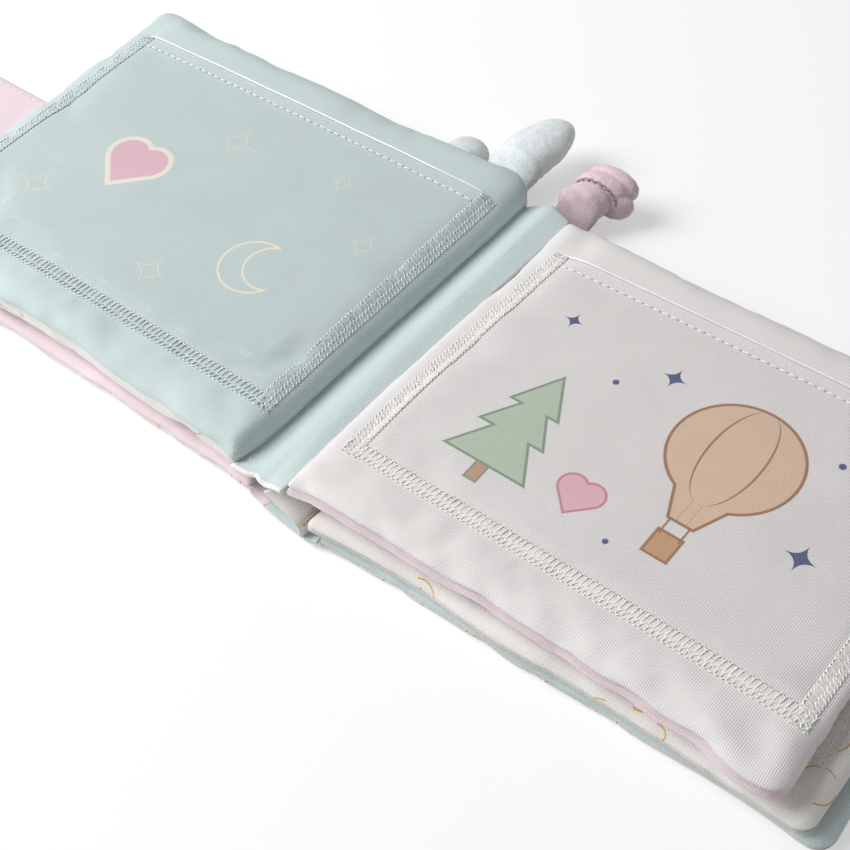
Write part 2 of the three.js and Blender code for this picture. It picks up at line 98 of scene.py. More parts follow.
# Puffing of the pads: length of the simulation, and the points that each point of a pad follows
PUFF_FRAMES = 20
FOLLOWED = 6
FOLLOW_SOFTLY = 0.5

# What holds a pad while it is puffed: the width of its sewn side, the reach of a window's seam, and the share
# of a face's height beyond which it rests or is covered
SEWN_WIDTH = 3
HELD_BY_SEAM = 3.5
HELD_HEIGHT = 0.6

# Dent under a window's seam
DENT_DEPTH = 0.7
DENT_WIDTH = 3.0

# Gathers along the seam round a pad: their scale, how much finer the small ones are, how far in they reach
# and how fast they fade, both over the edge's width, and the share of them that lifts the upper face
GATHER_SCALE = 0.16
FINE_GATHERS = 2.7
GATHER_REACH = 3
GATHER_FADE = 0.9
GATHER_LIFT = 0.8

# What later steps need from the pads made by earlier ones
SURFACES = {}


def tone(red, green, blue):
    """A colour as it shows on a screen, from 0 to 255, in Blender's linear values."""
    shares = (channel / 255 for channel in (red, green, blue))
    return tuple(s / 12.92 if s <= 0.04045 else ((s + 0.055) / 1.055) ** 2.4 for s in shares)


def colour_property(name, words, shade):
    return bpy.props.FloatVectorProperty(
        name=name, description=words, subtype="COLOR", size=3, min=0.0, max=1.0, default=tone(*shade)
    )


def length_property(name, words, millimetres):
    return bpy.props.FloatProperty(
        name=name, description=words, default=millimetres * MM, min=0.0, unit="LENGTH", precision=5
    )


class AlbumColours(bpy.types.PropertyGroup):
    """Colours of the cloths, threads and plush"""

    mint: colour_property(
        "Mint jersey", "First leaf's upper cloth, rounded gusset and back cover's lining", (202, 216, 216)
    )
    white: colour_property("White jersey", "Upper cloth of the second leaf", (232, 228, 227))
    pink: colour_property(
        "Pink jersey", "Front cover's lining, closing strap and second leaf's lower cloth", (233, 215, 221)
    )
    cream: colour_property("Cream jersey", "Printed cloth of the covers and leaves", (236, 233, 229))
    teal: colour_property("Teal thread", "Overlock thread on mint pages", (199, 214, 217))
    ivory: colour_property("Ivory thread", "Overlock thread on pale pages", (240, 237, 233))
    bright: colour_property("Bright thread", "Hem stitching and loop thread", (250, 251, 252))
    tan: colour_property("Tan thread", "Chain stitching in the third leaf's valley", (190, 172, 148))
    sage: colour_property("Sage thread", "Chain stitching in the first valley", (150, 170, 168))
    lilac: colour_property("Lilac thread", "Stitching round the pink tab", (170, 148, 176))
    gold: colour_property("Gold print", "Small marks on the cream cloth", (218, 164, 62))
    foil: colour_property("Pale foil print", "Outlines on the mint page", (246, 236, 212))
    plush_mint: colour_property("Mint plush", "Long tab", (234, 241, 242))
    plush_grey: colour_property("Grey plush", "Short tab", (222, 228, 230))
    plush_pink: colour_property("Pink plush", "Knotted tab", (232, 207, 213))


class AlbumSizes(bpy.types.PropertyGroup):
    """Sizes of the cloth's surface, the stitching and the plush"""

    rib: length_property("Rib pitch", "Distance between the ribs of the jersey", 0.7)
    rib_depth: length_property("Rib depth", "How deep the ribs are", 0.1)
    groove: length_property("Seam groove", "How far the seam round a pad is pulled in", 0.7)
    pucker: length_property("Pucker", "Height of the small gathers along the seams", 0.22)
    thread: length_property("Thread radius", "Radius of the overlock thread", 0.25)
    pitch: length_property("Stitch pitch", "Distance between overlock stitches", 1.9)
    dash: length_property("Dash", "Length of a stitch in the window's hem", 2.5)
    pile: length_property("Pile", "How far the plush stands proud", 0.45)


def colour(name):
    return tuple(getattr(bpy.context.scene.album_colours, name))


def size(name):
    """A size in millimetres."""
    return getattr(bpy.context.scene.album_sizes, name) / MM


# Materials


class Wire:
    """A socket of a material's nodes. Python's operators on it add Math nodes."""

    # Sockets of the Mix node that hold colours
    MIX_COLOURS = (6, 7)
    MIX_RESULT = 2

    def __init__(self, tree, socket=None):
        self.tree = tree
        self.socket = socket

    def node(self, kind, settings=None, inputs=None, output=0):
        made = self.tree.nodes.new(kind)
        for key, value in (settings or {}).items():
            setattr(made, key, value)
        for key, value in (inputs or {}).items():
            if isinstance(value, Wire):
                self.tree.links.new(value.socket, made.inputs[key])
            else:
                made.inputs[key].default_value = value
        return Wire(self.tree, made.outputs[output])

    def maths(self, operation, *values, clamp=False):
        inputs = dict(enumerate((self, *values)))
        return self.node("ShaderNodeMath", {"operation": operation, "use_clamp": clamp}, inputs)

    def flipped(self, operation, value):
        return self.node("ShaderNodeMath", {"operation": operation}, {0: value, 1: self})

    def __add__(self, other):
        return self.maths("ADD", other)

    def __radd__(self, other):
        return self.maths("ADD", other)

    def __sub__(self, other):
        return self.maths("SUBTRACT", other)

    def __rsub__(self, other):
        return self.flipped("SUBTRACT", other)

    def __mul__(self, other):
        return self.maths("MULTIPLY", other)

    def __rmul__(self, other):
        return self.maths("MULTIPLY", other)

    def __truediv__(self, other):
        return self.maths("DIVIDE", other)

    def __rtruediv__(self, other):
        return self.flipped("DIVIDE", other)

    def __abs__(self):
        return self.maths("ABSOLUTE")

    def __gt__(self, other):
        return self.maths("GREATER_THAN", other)

    def __lt__(self, other):
        return self.maths("LESS_THAN", other)

    def lower(self, other):
        return self.maths("MINIMUM", other)

    def higher(self, other):
        return self.maths("MAXIMUM", other)

    def root(self):
        return self.maths("SQRT")

    def sine(self):
        return self.maths("SINE")

    def wave(self):
        """A sine wave of this, between 0 and 1."""
        return self.sine() * 0.5 + 0.5

    def held(self):
        """Kept between 0 and 1."""
        return self.maths("ADD", 0.0, clamp=True)

    def eased(self, low, high, start=0.0, end=1.0):
        """From start at low to end at high, smoothly, and level beyond."""
        inputs = {"Value": self, "From Min": low, "From Max": high, "To Min": start, "To Max": end}
        return self.node("ShaderNodeMapRange", {"interpolation_type": "SMOOTHSTEP"}, inputs)

    def mixed(self, first, second):
        """The first colour where this is 0 and the second where it is 1."""
        inputs = {0: self}
        for socket, shade in zip(self.MIX_COLOURS, (first, second)):
            inputs[socket] = shade if isinstance(shade, Wire) else (*shade, 1.0)
        settings = {"data_type": "RGBA", "clamp_factor": True}
        return self.node("ShaderNodeMix", settings, inputs, output=self.MIX_RESULT)


def new_finish(name):
    """A new material with its Principled shader, ready for wires: material, shader and a first wire."""
    material = bpy.data.materials.new(name)
    material.use_nodes = True
    tree = material.node_tree
    shader = next(node for node in tree.nodes if node.type == "BSDF_PRINCIPLED")
    return material, shader, Wire(tree)


def feed(wire, shader, **sockets):
    names = {"colour": "Base Color", "glow": "Emission Color", "normal": "Normal", "alpha": "Alpha"}
    for key, value in sockets.items():
        wire.tree.links.new(value.socket, shader.inputs[names[key]])


def set_sockets(shader, **sockets):
    for key, value in sockets.items():
        shader.inputs[key.replace("_", " ").title()].default_value = value


def place_wires(wire):
    """X, Y and Z of the place on the piece, in millimetres."""
    spot = wire.node("ShaderNodeTexCoord", output="Object")
    split = wire.node("ShaderNodeSeparateXYZ", inputs={"Vector": spot})
    outputs = split.socket.node.outputs
    return [Wire(wire.tree, outputs[axis]) * (1 / MM) for axis in ("X", "Y", "Z")]


def attribute(wire, name):
    return wire.node("ShaderNodeAttribute", {"attribute_name": name}, output="Fac")


def noise_wire(wire, scale, detail=2.0, vector=None):
    inputs = {"Scale": scale, "Detail": detail, "Roughness": 0.55}
    inputs["Vector"] = vector or wire.node("ShaderNodeTexCoord", output="Object")
    return wire.node("ShaderNodeTexNoise", inputs=inputs, output="Fac")


def bumped(wire, height, depth, strength=1.0):
    inputs = {"Strength": strength, "Distance": depth * MM, "Height": height}
    return wire.node("ShaderNodeBump", inputs=inputs)


# Shapes for printing: distances in millimetres, negative inside


def disc(x, y, cx, cy, radius):
    across, up = x - cx, y - cy
    return (across * across + up * up).root() - radius


def bar(x, y, start, end, half):
    across, up = x - start[0], y - start[1]
    run, climb = end[0] - start[0], end[1] - start[1]
    share = ((across * run + up * climb) / (run * run + climb * climb)).held()
    off, over = across - share * run, up - share * climb
    return (off * off + over * over).root() - half


def tier(x, y, cx, top, base, half):
    """An upright triangle."""
    tall = top - base
    side = (abs(x - cx) * tall + (y - top) * half) / math.hypot(tall, half)
    return side.higher(base - y)


def heart(x, y, cx, cy, radius):
    diagonal = 0.7071
    across, up = abs(x - cx), y - cy + radius * 0.2
    lobes = disc(across, up, radius * 0.5, radius * 0.5, radius * diagonal)
    point = (across + abs(up)) * diagonal - radius * diagonal
    return lobes.lower(point)


def sparkle(x, y, cx, cy, reach):
    spread = abs(x - cx).root() + abs(y - cy).root()
    return spread * spread - reach


def filled(distance, soft=0.22):
    return distance.eased(-soft, soft, 1.0, 0.0)


def outlined(distance, half, soft=0.22):
    return filled(abs(distance) - half, soft)


def merged(shapes):
    """One shape from several."""
    whole, *others = shapes
    for shape in others:
        whole = whole.lower(shape)
    return whole


def print_balloon(x, y, ink):
    """A balloon with gores, and its basket on two ropes."""
    tan, brown, wicker = tone(226, 196, 172), tone(168, 124, 96), tone(206, 164, 128)
    middle, height, radius = 112, 6, 21
    neck_end, basket_height, basket_half, rope_off = -24, -33.5, 4.2, 3.4
    neck = tier(x, 0 - y, middle, 34, -4, 16.5).higher(0 - y + neck_end)
    bag = disc(x, y, middle, height, radius).lower(neck)
    ink = filled(bag).mixed(ink, tan)
    width = (radius * radius - (y - height) * (y - height)).higher(16.0).root()
    gore = abs(abs((x - middle) / width) - 0.42)
    rib = filled(gore * radius - 0.35).lower(filled(bag))
    ink = rib.higher(outlined(bag, 0.5)).mixed(ink, brown)
    basket = abs(x - middle).higher(abs(y - basket_height) - 0.4) - basket_half
    ink = filled(basket).mixed(ink, wicker)
    places = (middle - rope_off, middle + rope_off)
    ropes = merged([bar(x, y, (place, neck_end), (place, neck_end - 6), 0.35) for place in places])
    return outlined(basket, 0.45).higher(filled(ropes)).mixed(ink, brown)


def print_fir(x, y, ink):
    """A fir tree of three tiers."""
    sage, sage_line, bark = tone(190, 203, 184), tone(138, 158, 138), tone(196, 160, 132)
    middle = 52
    tiers = ((2, -14, 9), (-6, -26, 12), (-15, -40, 15))
    fir = merged([tier(x, y, middle, *form) for form in tiers])
    trunk = abs(x - middle).higher(abs(y + 43.5) - 1.4) - 2.2
    ink = filled(trunk).mixed(ink, bark)
    ink = filled(fir).mixed(ink, sage)
    return outlined(fir, 0.45).higher(outlined(trunk, 0.35)).mixed(ink, sage_line)


def print_right_page(x, y, ground):
    """A balloon, a fir tree, a heart, sparkles and dots."""
    rose, rose_line, navy = tone(233, 186, 196), tone(205, 140, 156), tone(92, 98, 140)
    sparkles = ((80, 22, 5), (146, -14, 6), (40, 24, 4))
    dots = ((66, 10, 1.1), (139, 22, 1.2), (98, -42, 1.0))
    ink = print_fir(x, y, print_balloon(x, y, ground))
    love = heart(x, y, 82, -33, 6.5)
    ink = filled(love).mixed(ink, rose)
    ink = outlined(love, 0.4).mixed(ink, rose_line)
    stars = merged([sparkle(x, y, *place) for place in sparkles])
    spots = merged([disc(x, y, *place) for place in dots])
    return filled(stars).higher(filled(spots)).mixed(ink, navy)


def print_left_page(x, y, ground):
    """Foil outlines of a moon and sparkles, and one rose heart with a pale border."""
    foil, border, rose = colour("foil"), tone(240, 234, 220), tone(226, 188, 200)
    sparkles = ((-112, 26, 9), (-40, 12, 7), (-92, -40, 8), (-158, -32, 9), (-66, 32, 6))
    border_width = 2.0
    moon = disc(x, y, -64, -18, 12).higher(0 - disc(x, y, -58, -15, 10))
    stars = merged([sparkle(x, y, *place) for place in sparkles])
    love = heart(x, y, -136, -4, 10)
    ink = outlined(moon, 0.4).higher(outlined(stars, 0.35)).mixed(ground, foil)
    ink = filled(love - border_width).mixed(ink, border)
    return filled(love).mixed(ink, rose)


def print_cream(wire, ground):
    """Small scattered gold rings, broken into arcs, and rose dots."""
    cell, wide, narrow = 17.0, 5.6, 2.8
    line, soft = 0.2, 0.14
    spot = wire.node("ShaderNodeTexCoord", output="Object")
    inputs = {"Vector": spot, "Scale": 1 / (cell * MM), "Randomness": 0.85}
    cells = wire.node("ShaderNodeTexVoronoi", inputs=inputs)
    outputs = cells.socket.node.outputs
    away = Wire(wire.tree, outputs["Distance"]) * cell
    pick = wire.node("ShaderNodeSeparateColor", inputs={"Color": Wire(wire.tree, outputs["Color"])})
    chosen = Wire(wire.tree, pick.socket.node.outputs[0])
    other = Wire(wire.tree, pick.socket.node.outputs[1])
    broken = noise_wire(wire, 150.0, 1.0) > 0.47
    arc = outlined(away - wide, line, soft) * broken * (chosen > 0.3)
    small = outlined(away - narrow, line, soft) * (1 - broken) * (other > 0.35)
    dot = filled(away - 1.0) * (other > 0.6)
    ink = arc.higher(small).mixed(ground, colour("gold"))
    return dot.mixed(ink, tone(232, 172, 184))


def jersey(name, shade, printing=None):
    """Ribbed jersey: fine ribs along the cloth with painted shade between them, deeper in some patches than
    in others, and a soft nap.
    """
    material, shader, wire = new_finish(name)
    x, y, _ = place_wires(wire)
    across, along = attribute(wire, "wale"), attribute(wire, "course")
    wander, loop_pitch, loop_share = 0.6, 0.8, 0.4
    drift = noise_wire(wire, 210.0, 3.0) - 0.5
    rib = ((across + drift * wander) * (2 * math.pi / size("rib"))).wave()
    loop = (along * (2 * math.pi / (size("rib") * loop_pitch))).wave()
    knit = rib * (1 - loop_share + loop * loop_share)
    knit_mean = 0.5 * (1 - loop_share / 2)
    mottle = noise_wire(wire, 38.0, 3.0)
    # How deep the painted shade between the ribs is, in patches
    groove_shade_depth = noise_wire(wire, 120.0, 3.0).eased(0.3, 0.7, 0.12, 0.26)
    ground = mottle.eased(0.3, 0.75).mixed(tuple(c * 0.965 for c in shade), shade)
    if printing == "right":
        ground = print_right_page(x, y, ground)
    elif printing == "left":
        ground = print_left_page(x, y, ground)
    elif printing == "cream":
        ground = print_cream(wire, ground)
    # Painted shade: the colour is darker between the ribs and lighter on them, by the heights that the bump
    # uses
    painted_groove_shade = 1 + (knit - knit_mean) * groove_shade_depth
    shaded = wire.node("ShaderNodeVectorMath", {"operation": "SCALE"}, {0: ground, "Scale": painted_groove_shade})
    feed(wire, shader, colour=shaded, normal=bumped(wire, knit, size("rib_depth"), 0.9))
    set_sockets(shader, roughness=0.93, sheen_weight=0.18, sheen_roughness=0.45)
    shader.inputs["Specular IOR Level"].default_value = 0.18
    return material


def thread_finish(name, shade):
    """Twisted thread: fine slanting plies and uneven dye."""
    material, shader, wire = new_finish(name)
    x, y, z = place_wires(wire)
    ply = ((x + y * 0.7 + z * 1.3) * 9.0).wave()
    dye = noise_wire(wire, 700.0, 2.0)
    base = dye.eased(0.25, 0.75).mixed(tuple(c * 0.9 for c in shade), shade)
    feed(wire, shader, colour=base, normal=bumped(wire, ply, 0.08, 0.5))
    set_sockets(shader, roughness=0.7, sheen_weight=0.15)
    return material


def plush_finish(name, shade):
    """Short plush: clumped pile, with painted light on the tops of the clumps and painted shade in the
    hollows between them.
    """
    material, shader, wire = new_finish(name)
    fine, clump = noise_wire(wire, 1500.0, 3.0), noise_wire(wire, 260.0, 2.0)
    pile = fine * 0.6 + clump * 0.4
    # Painted light and shade: paler where the pile stands high and darker where it is low, by the heights
    # that the bump uses
    deep, lit_pile_tops = tuple(c * 0.82 for c in shade), tuple(min(1.0, c * 1.06) for c in shade)
    base = pile.eased(0.3, 0.7).mixed(deep, lit_pile_tops)
    feed(wire, shader, colour=base, normal=bumped(wire, pile, 0.7, 0.6))
    set_sockets(shader, roughness=0.95, sheen_weight=0.5, sheen_roughness=0.4)
    return material


def film_finish(name, cover, shade):
    """Clear soft film: glossy, nearly colourless, faintly clouded."""
    material, shader, wire = new_finish(name)
    cloud = noise_wire(wire, 60.0, 3.0)
    wave = noise_wire(wire, 45.0, 2.0)
    feed(wire, shader, alpha=cloud.eased(0.3, 0.75, cover * 0.7, cover), normal=bumped(wire, wave, 1.2, 0.25))
    shader.inputs["Base Color"].default_value = (*shade, 1.0)
    set_sockets(shader, roughness=0.16)
    return material


def tape_finish(name, shade, scale):
    """Hook or loop tape: rows of small tufts, with painted shade between them."""
    material, shader, wire = new_finish(name)
    x, y, _ = place_wires(wire)
    rows = ((x * scale).sine() * (y * scale).sine()) * 0.5 + 0.5
    fuzz = noise_wire(wire, 1400.0, 3.0)
    height = rows * 0.6 + fuzz * 0.4
    # Painted shade: darker where the tufts are low, by the heights that the bump uses
    base = height.eased(0.3, 0.8).mixed(tuple(c * 0.78 for c in shade), shade)
    feed(wire, shader, colour=base, normal=bumped(wire, height, 0.6, 0.8))
    set_sockets(shader, roughness=0.85)
    return material


# Films: how much they cover and their colour; tapes: their colour and how closely the tufts stand;
# beds of thread: how much darker they are than the thread, which paints the shade in the gaps between the
# rungs
FILMS = {
    "film": (0.045, (160, 160, 160)),
    "film_hem": (0.06, (226, 228, 228)),
    # The hem's rolled edge is nearly opaque and near white: a painted highlight along the film's edge
    "film_edge": (0.9, (252, 253, 253)),
}
TAPES = {"hook_tape": ((238, 233, 230), 4.5), "loop_tape": ((240, 236, 233), 2.2)}
PAINTED_SHADE_BEDS = {"bed_teal": (0.9, 0.9, 0.9), "bed_ivory": (0.92, 0.905, 0.89)}
MADE = {}


def look(name):
    """The material of that name, made when it is first asked for."""
    if name in MADE:
        return MADE[name]
    if name.startswith("jersey_"):
        shade, *printing = name.split("_")[1:]
        MADE[name] = jersey(name, colour(shade), printing[0] if printing else None)
    elif name.startswith("thread_"):
        MADE[name] = thread_finish(name, colour(name.split("_")[1]))
    elif name.startswith("plush_"):
        MADE[name] = plush_finish(name, colour(name))
    elif name in PAINTED_SHADE_BEDS:
        thread = colour(name.split("_")[1])
        # A bed is its thread's colour darkened: painted shade for the gaps between the rungs
        MADE[name] = thread_finish(name, tuple(c * w for c, w in zip(thread, PAINTED_SHADE_BEDS[name])))
    elif name in FILMS:
        cover, shade = FILMS[name]
        MADE[name] = film_finish(name, cover, tone(*shade))
    elif name in TAPES:
        shade, tufts = TAPES[name]
        MADE[name] = tape_finish(name, tone(*shade), tufts)
    else:
        raise ValueError(f"no finish is called {name}")
    return MADE[name]


# Meshes


def new_piece(name, points, faces, looks, indices=None, attributes=None):
    """A mesh object from points in millimetres."""
    mesh = bpy.data.meshes.new(name)
    mesh.from_pydata([tuple(c * MM for c in point) for point in points], [], faces)
    for material in looks:
        mesh.materials.append(look(material))
    if indices is not None:
        mesh.polygons.foreach_set("material_index", np.asarray(indices, np.int32))
    for key, values in (attributes or {}).items():
        layer = mesh.attributes.new(key, "FLOAT", "POINT")
        layer.data.foreach_set("value", np.asarray(values, np.float32))
    mesh.polygons.foreach_set("use_smooth", np.ones(len(mesh.polygons), bool))
    mesh.validate()
    mesh.update()
    piece = bpy.data.objects.new(name, mesh)
    bpy.context.scene.collection.objects.link(piece)
    return piece


class Bundle:
    """Many small closed tubes and slabs in one mesh."""

    # Share of its radius that a tube keeps at its ends
    TAPER = 0.6

    def __init__(self):
        self.points, self.faces, self.indices = [], [], []

    def tube(self, path, radius, material=0, sides=5, up=Vector((0, 0, 1))):
        path = [Vector(point) for point in path]
        first = len(self.points)
        last = len(path) - 1
        for k, centre in enumerate(path):
            ahead = (path[min(k + 1, last)] - path[max(k - 1, 0)]).normalized()
            side = ahead.cross(up)
            side = side.normalized() if side.length > 1e-6 else ahead.orthogonal().normalized()
            lift = side.cross(ahead)
            reach = radius * (self.TAPER if k in (0, last) else 1.0)
            for s in range(sides):
                angle = 2 * math.pi * s / sides
                across, above = reach * math.cos(angle), reach * math.sin(angle)
                self.points.append(centre + side * across + lift * above)
        for k in range(last):
            for s in range(sides):
                a, b = first + k * sides + s, first + k * sides + (s + 1) % sides
                self.faces.append((a, a + sides, b + sides, b))
        self.faces.append(tuple(first + s for s in range(sides)))
        self.faces.append(tuple(first + last * sides + s for s in reversed(range(sides))))
        self.indices += [material] * (len(self.faces) - len(self.indices))

    def slab(self, lower, upper, material=0):
        """A closed slab between two grids of points of the same shape."""
        rows, columns = len(lower), len(lower[0])
        first = len(self.points)
        count = rows * columns
        self.points += [Vector(p) for row in lower for p in row] + [Vector(p) for row in upper for p in row]
        self.faces += slab_faces(rows, columns, first, count)
        self.indices += [material] * (len(self.faces) - len(self.indices))

    def piece(self, name, looks):
        return new_piece(name, self.points, self.faces, looks, self.indices)


def slab_faces(rows, columns, first, count):
    """Faces of a slab whose lower grid of points comes first: upper side, lower side and rim."""
    faces = []

    def low(j, i):
        return first + j * columns + i

    def high(j, i):
        return first + count + j * columns + i

    for j in range(rows - 1):
        for i in range(columns - 1):
            faces.append((high(j, i), high(j, i + 1), high(j + 1, i + 1), high(j + 1, i)))
            faces.append((low(j, i), low(j + 1, i), low(j + 1, i + 1), low(j, i + 1)))
        faces.append((low(j, 0), high(j, 0), high(j + 1, 0), low(j + 1, 0)))
        end = columns - 1
        faces.append((low(j, end), low(j + 1, end), high(j + 1, end), high(j, end)))
    for i in range(columns - 1):
        faces.append((low(0, i), low(0, i + 1), high(0, i + 1), high(0, i)))
        end = rows - 1
        faces.append((low(end, i), high(end, i), high(end, i + 1), low(end, i + 1)))
    return faces


def rise(distance, reach):
    """A quarter circle's rise from 0 at the edge to 1 at the reach."""
    share = min(distance / reach, 1.0)
    return math.sqrt(1.0 - (1.0 - share) ** 2)


def far_lean(y):
    """How far the gutter's far half leans to the right."""
    past = max(0.0, y - LEAN_START)
    return min(LEAN_LIMIT, LEAN_SLOPE * past * past / (past + LEAN_EASE))


class Panel:
    """A padded panel with the outline that its solids have. Its corners run from far right round to near
    right."""

    QUARTERS = {(True, True): 0, (False, True): 1, (False, False): 2, (True, False): 3}
    FLARE_POWER = 4
    SWAY_POWER = 5
    FLOP_WIDTH = 18.0
    FLOP_DEPTH = 8.0
    DROP_REACH = 14.0

    def __init__(self, x, y, z, edge, corners, side, **form):
        self.x0, self.x1 = x
        self.y0, self.y1 = y
        self.low, self.seam, self.high = z
        self.edge, self.corners, self.side = edge, corners, side
        self.draw_in, self.tilt = form.get("draw_in", 0.0), form.get("tilt", 0.0)
        self.flare, self.crown = form.get("flare", 0.0), form.get("crown", 0.0)
        self.drop, self.bulge = form.get("drop", 0.0), form.get("bulge", 0.0)
        self.sway, self.flop = form.get("sway", ()), form.get("flop", 0.0)
        self.droop, self.droop_depth = form.get("droop", (0.0, 1.0))
        self.lean, self.lean_reach = form.get("lean", (0.0, 1.0))
        self.middle = ((self.x0 + self.x1) / 2, (self.y0 + self.y1) / 2)
        self.half = ((self.x1 - self.x0) / 2, (self.y1 - self.y0) / 2)

    def unit(self, x, y):
        return (x - self.middle[0]) / self.half[0], (y - self.middle[1]) / self.half[1]

    def along(self, x, y):
        """The place in the panel's length of a point, with the far edge's tilt."""
        u, v = self.unit(x, y)
        return y + self.tilt * u * (1 + v) / 2

    def lean_at(self, x, y):
        """How far a point leans to the right with the gutter, which fades away from the sewn side."""
        inner = self.x1 - x if self.side < 0 else x - self.x0
        return self.lean * far_lean(y) * max(0.0, 1 - inner / self.lean_reach)

    def placed(self, x, y):
        """A point of the plain box, with the free sides drawn in, the sewn end flared and leaning, and the
        near edge swaying."""
        u, v = self.unit(x, y)
        free = abs(u) if u * self.side > 0 else 0.0
        across = x - math.copysign(1.0, u) * free * self.draw_in * (1 - v * v)
        flare = self.flare * ((1 - u * self.side) / 2) ** self.FLARE_POWER
        near = sum(amount * math.exp(-(((x - centre) / width) ** 2)) for amount, centre, width in self.sway)
        near *= max(0.0, -v) ** self.SWAY_POWER
        inner = self.x1 if self.side < 0 else self.x0
        beside = ((x - inner) / self.FLOP_WIDTH) ** 2
        across += self.flop * math.exp(-beside - (y - self.y0) / self.FLOP_DEPTH)
        across += self.lean_at(x, y)
        return across, self.along(x, y + v * (flare - self.draw_in * (1 - u * u))) + near

    def seam_at(self, x):
        """Height of the seam, which comes down to the sewn line at the inner end."""
        inner = self.x1 - x if self.side < 0 else x - self.x0
        return self.seam - self.drop * max(0.0, 1 - inner / self.DROP_REACH) ** 2

    def droop_at(self, y):
        """How far the near border sinks under its own weight."""
        return self.droop * max(0.0, 1 - (y - self.y0) / self.droop_depth) ** 2

    def cornered(self, x, y):
        """A point of the plain box with its corners rounded, its distance from the edge and the way out."""
        right, far = x > self.middle[0], y > self.middle[1]
        from_x = self.x1 - x if right else x - self.x0
        from_y = self.y1 - y if far else y - self.y0
        radius = self.corners[self.QUARTERS[right, far]]
        sign_x, sign_y = (1 if right else -1), (1 if far else -1)
        if from_x >= radius or from_y >= radius:
            outward = (sign_x, 0) if from_x < from_y else (0, sign_y)
            return x, y, min(from_x, from_y), outward
        a, b = 1 - from_x / radius, 1 - from_y / radius
        reach = max(a, b)
        turn = math.pi / 4 * (b / a) if a >= b else math.pi / 2 - math.pi / 4 * (a / b)
        from_x = radius * (1 - reach * math.cos(turn))
        from_y = radius * (1 - reach * math.sin(turn))
        x = self.x1 - from_x if right else self.x0 + from_x
        y = self.y1 - from_y if far else self.y0 + from_y
        return x, y, radius * (1 - reach), (sign_x * math.cos(turn), sign_y * math.sin(turn))

    def crown_at(self, x, y):
        """How far the middle of the upper face stands above its border."""
        u, v = self.unit(x, y)
        return self.crown * max(0.0, 1 - u * u) * max(0.0, 1 - v * v)


# Panels: X, Y, heights of the underside, seam and top, width of the rounded edge, corner radii, free side
LEAVES = {
    "leaf_1": Panel(
        (-197.5, -14.5), (-78.5, 76.5), (8.6, 17.6, 23.6), 9.0, (12.0, 7.0, 7.0, 2.0), -1,
        draw_in=2.0, tilt=2.3, crown=1.4, drop=2.7, bulge=0.6, flop=-3.0, lean=(VALLEY_LEAN, 14.0),
        sway=((-1.6, -16.0, 12.0),),
    ),
    "leaf_2": Panel(
        (5.4, 179.9), (-78.0, 67.0), (17.5, 22.0, 26.0), 7.0, (6.0, 3.0, 1.2, 6.0), 1,
        draw_in=1.2, tilt=2.3, crown=0.8, drop=1.4, bulge=1.9, lean=(1.0, 174.0),
        sway=((-1.0, 30.0, 36.0), (-1.0, 2.0, 10.0), (-2.2, 168.0, 12.0)),
    ),
    "leaf_3": Panel(
        (15.0, 189.5), (-79.0, 68.0), (8.6, 9.9, 14.6), 5.0, (6.0, 2.0, 2.0, 6.0), 1,
        draw_in=0.6, tilt=2.3, bulge=0.4, flop=-2.2, droop=(1.7, 14.0),
        sway=((-2.9, 8.0, 20.0), (-1.2, 87.0, 18.0), (1.0, 140.0, 45.0)),
    ),
}
COVERS = {
    "front_cover": Panel(
        (-203.0, -14.0), (-78.5, 78.5), (0.0, 3.5, 7.0), 5.0, (2.0, 8.0, 8.0, 2.0), -1, draw_in=1.6,
    ),
    "back_cover": Panel(
        (16.5, 195.2), (-78.5, 78.5), (0.0, 1.8, 7.0), 5.0, (8.0, 2.0, 2.0, 8.0), 1,
        draw_in=1.2, flare=2.5, sway=((0.6, 32.0, 16.0), (-0.9, 90.0, 18.0), (2.2, 168.0, 26.0)),
    ),
}
STRAP = Panel((-276.9, -201.9), (-18.0, 18.0), (0.0, 2.0, 4.0), 2.5, (1.5, 14.0, 14.0, 1.5), -1)


def stops(start, end, edge, step):
    """Places from start to end, close together near both ends and even between."""
    shares = (0.0, 0.03, 0.1, 0.22, 0.4, 0.65, 1.0)
    count = max(2, round((end - start - 2 * edge) / step))
    inner = [start + edge + (end - start - 2 * edge) * k / count for k in range(1, count)]
    return [start + edge * s for s in shares] + inner + [end - edge * s for s in reversed(shares)]


def pad_grids(panel, step, groove):
    """Points of a pad's upper and lower faces over one grid, and the depth of each from the edge."""
    xs = stops(panel.x0, panel.x1, panel.edge, step)
    ys = stops(panel.y0, panel.y1, panel.edge, step)
    upper = np.zeros((len(ys), len(xs), 3))
    depth = np.zeros((len(ys), len(xs)))
    lower = np.zeros_like(upper)
    low = panel.low
    for j, y in enumerate(ys):
        for i, x in enumerate(xs):
            rim = i in (0, len(xs) - 1) or j in (0, len(ys) - 1)
            inset = groove if rim else 0.0
            x_in = min(max(x, panel.x0 + inset), panel.x1 - inset)
            y_in = min(max(y, panel.y0 + inset), panel.y1 - inset)
            cx, cy, far_in, outward = panel.cornered(x_in, y_in)
            px, py = panel.placed(cx, cy)
            lift = 0.0 if rim else rise(far_in, panel.edge)
            seam = panel.seam_at(cx)
            out = panel.bulge * math.sin(math.pi * lift) * max(0.0, -outward[1])
            sunk = panel.droop_at(cy)
            upper[j, i] = px, py, seam - sunk + lift * (panel.high - seam + panel.crown_at(px, py))
            lower[j, i] = px + outward[0] * out, py + outward[1] * out, seam - sunk - lift * (seam - low)
            depth[j, i] = 0.0 if rim else far_in
    return upper, lower, depth


def lengths_over(grid, axis):
    """How far each point of a grid is along the cloth from the grid's middle line."""
    steps = np.linalg.norm(np.diff(grid, axis=axis), axis=2)
    start = np.zeros_like(np.take(grid[..., 0], [0], axis=axis))
    run = np.concatenate([start, np.cumsum(steps, axis=axis)], axis=axis)
    middle = np.take(run, [run.shape[axis] // 2], axis=axis)
    return run - middle


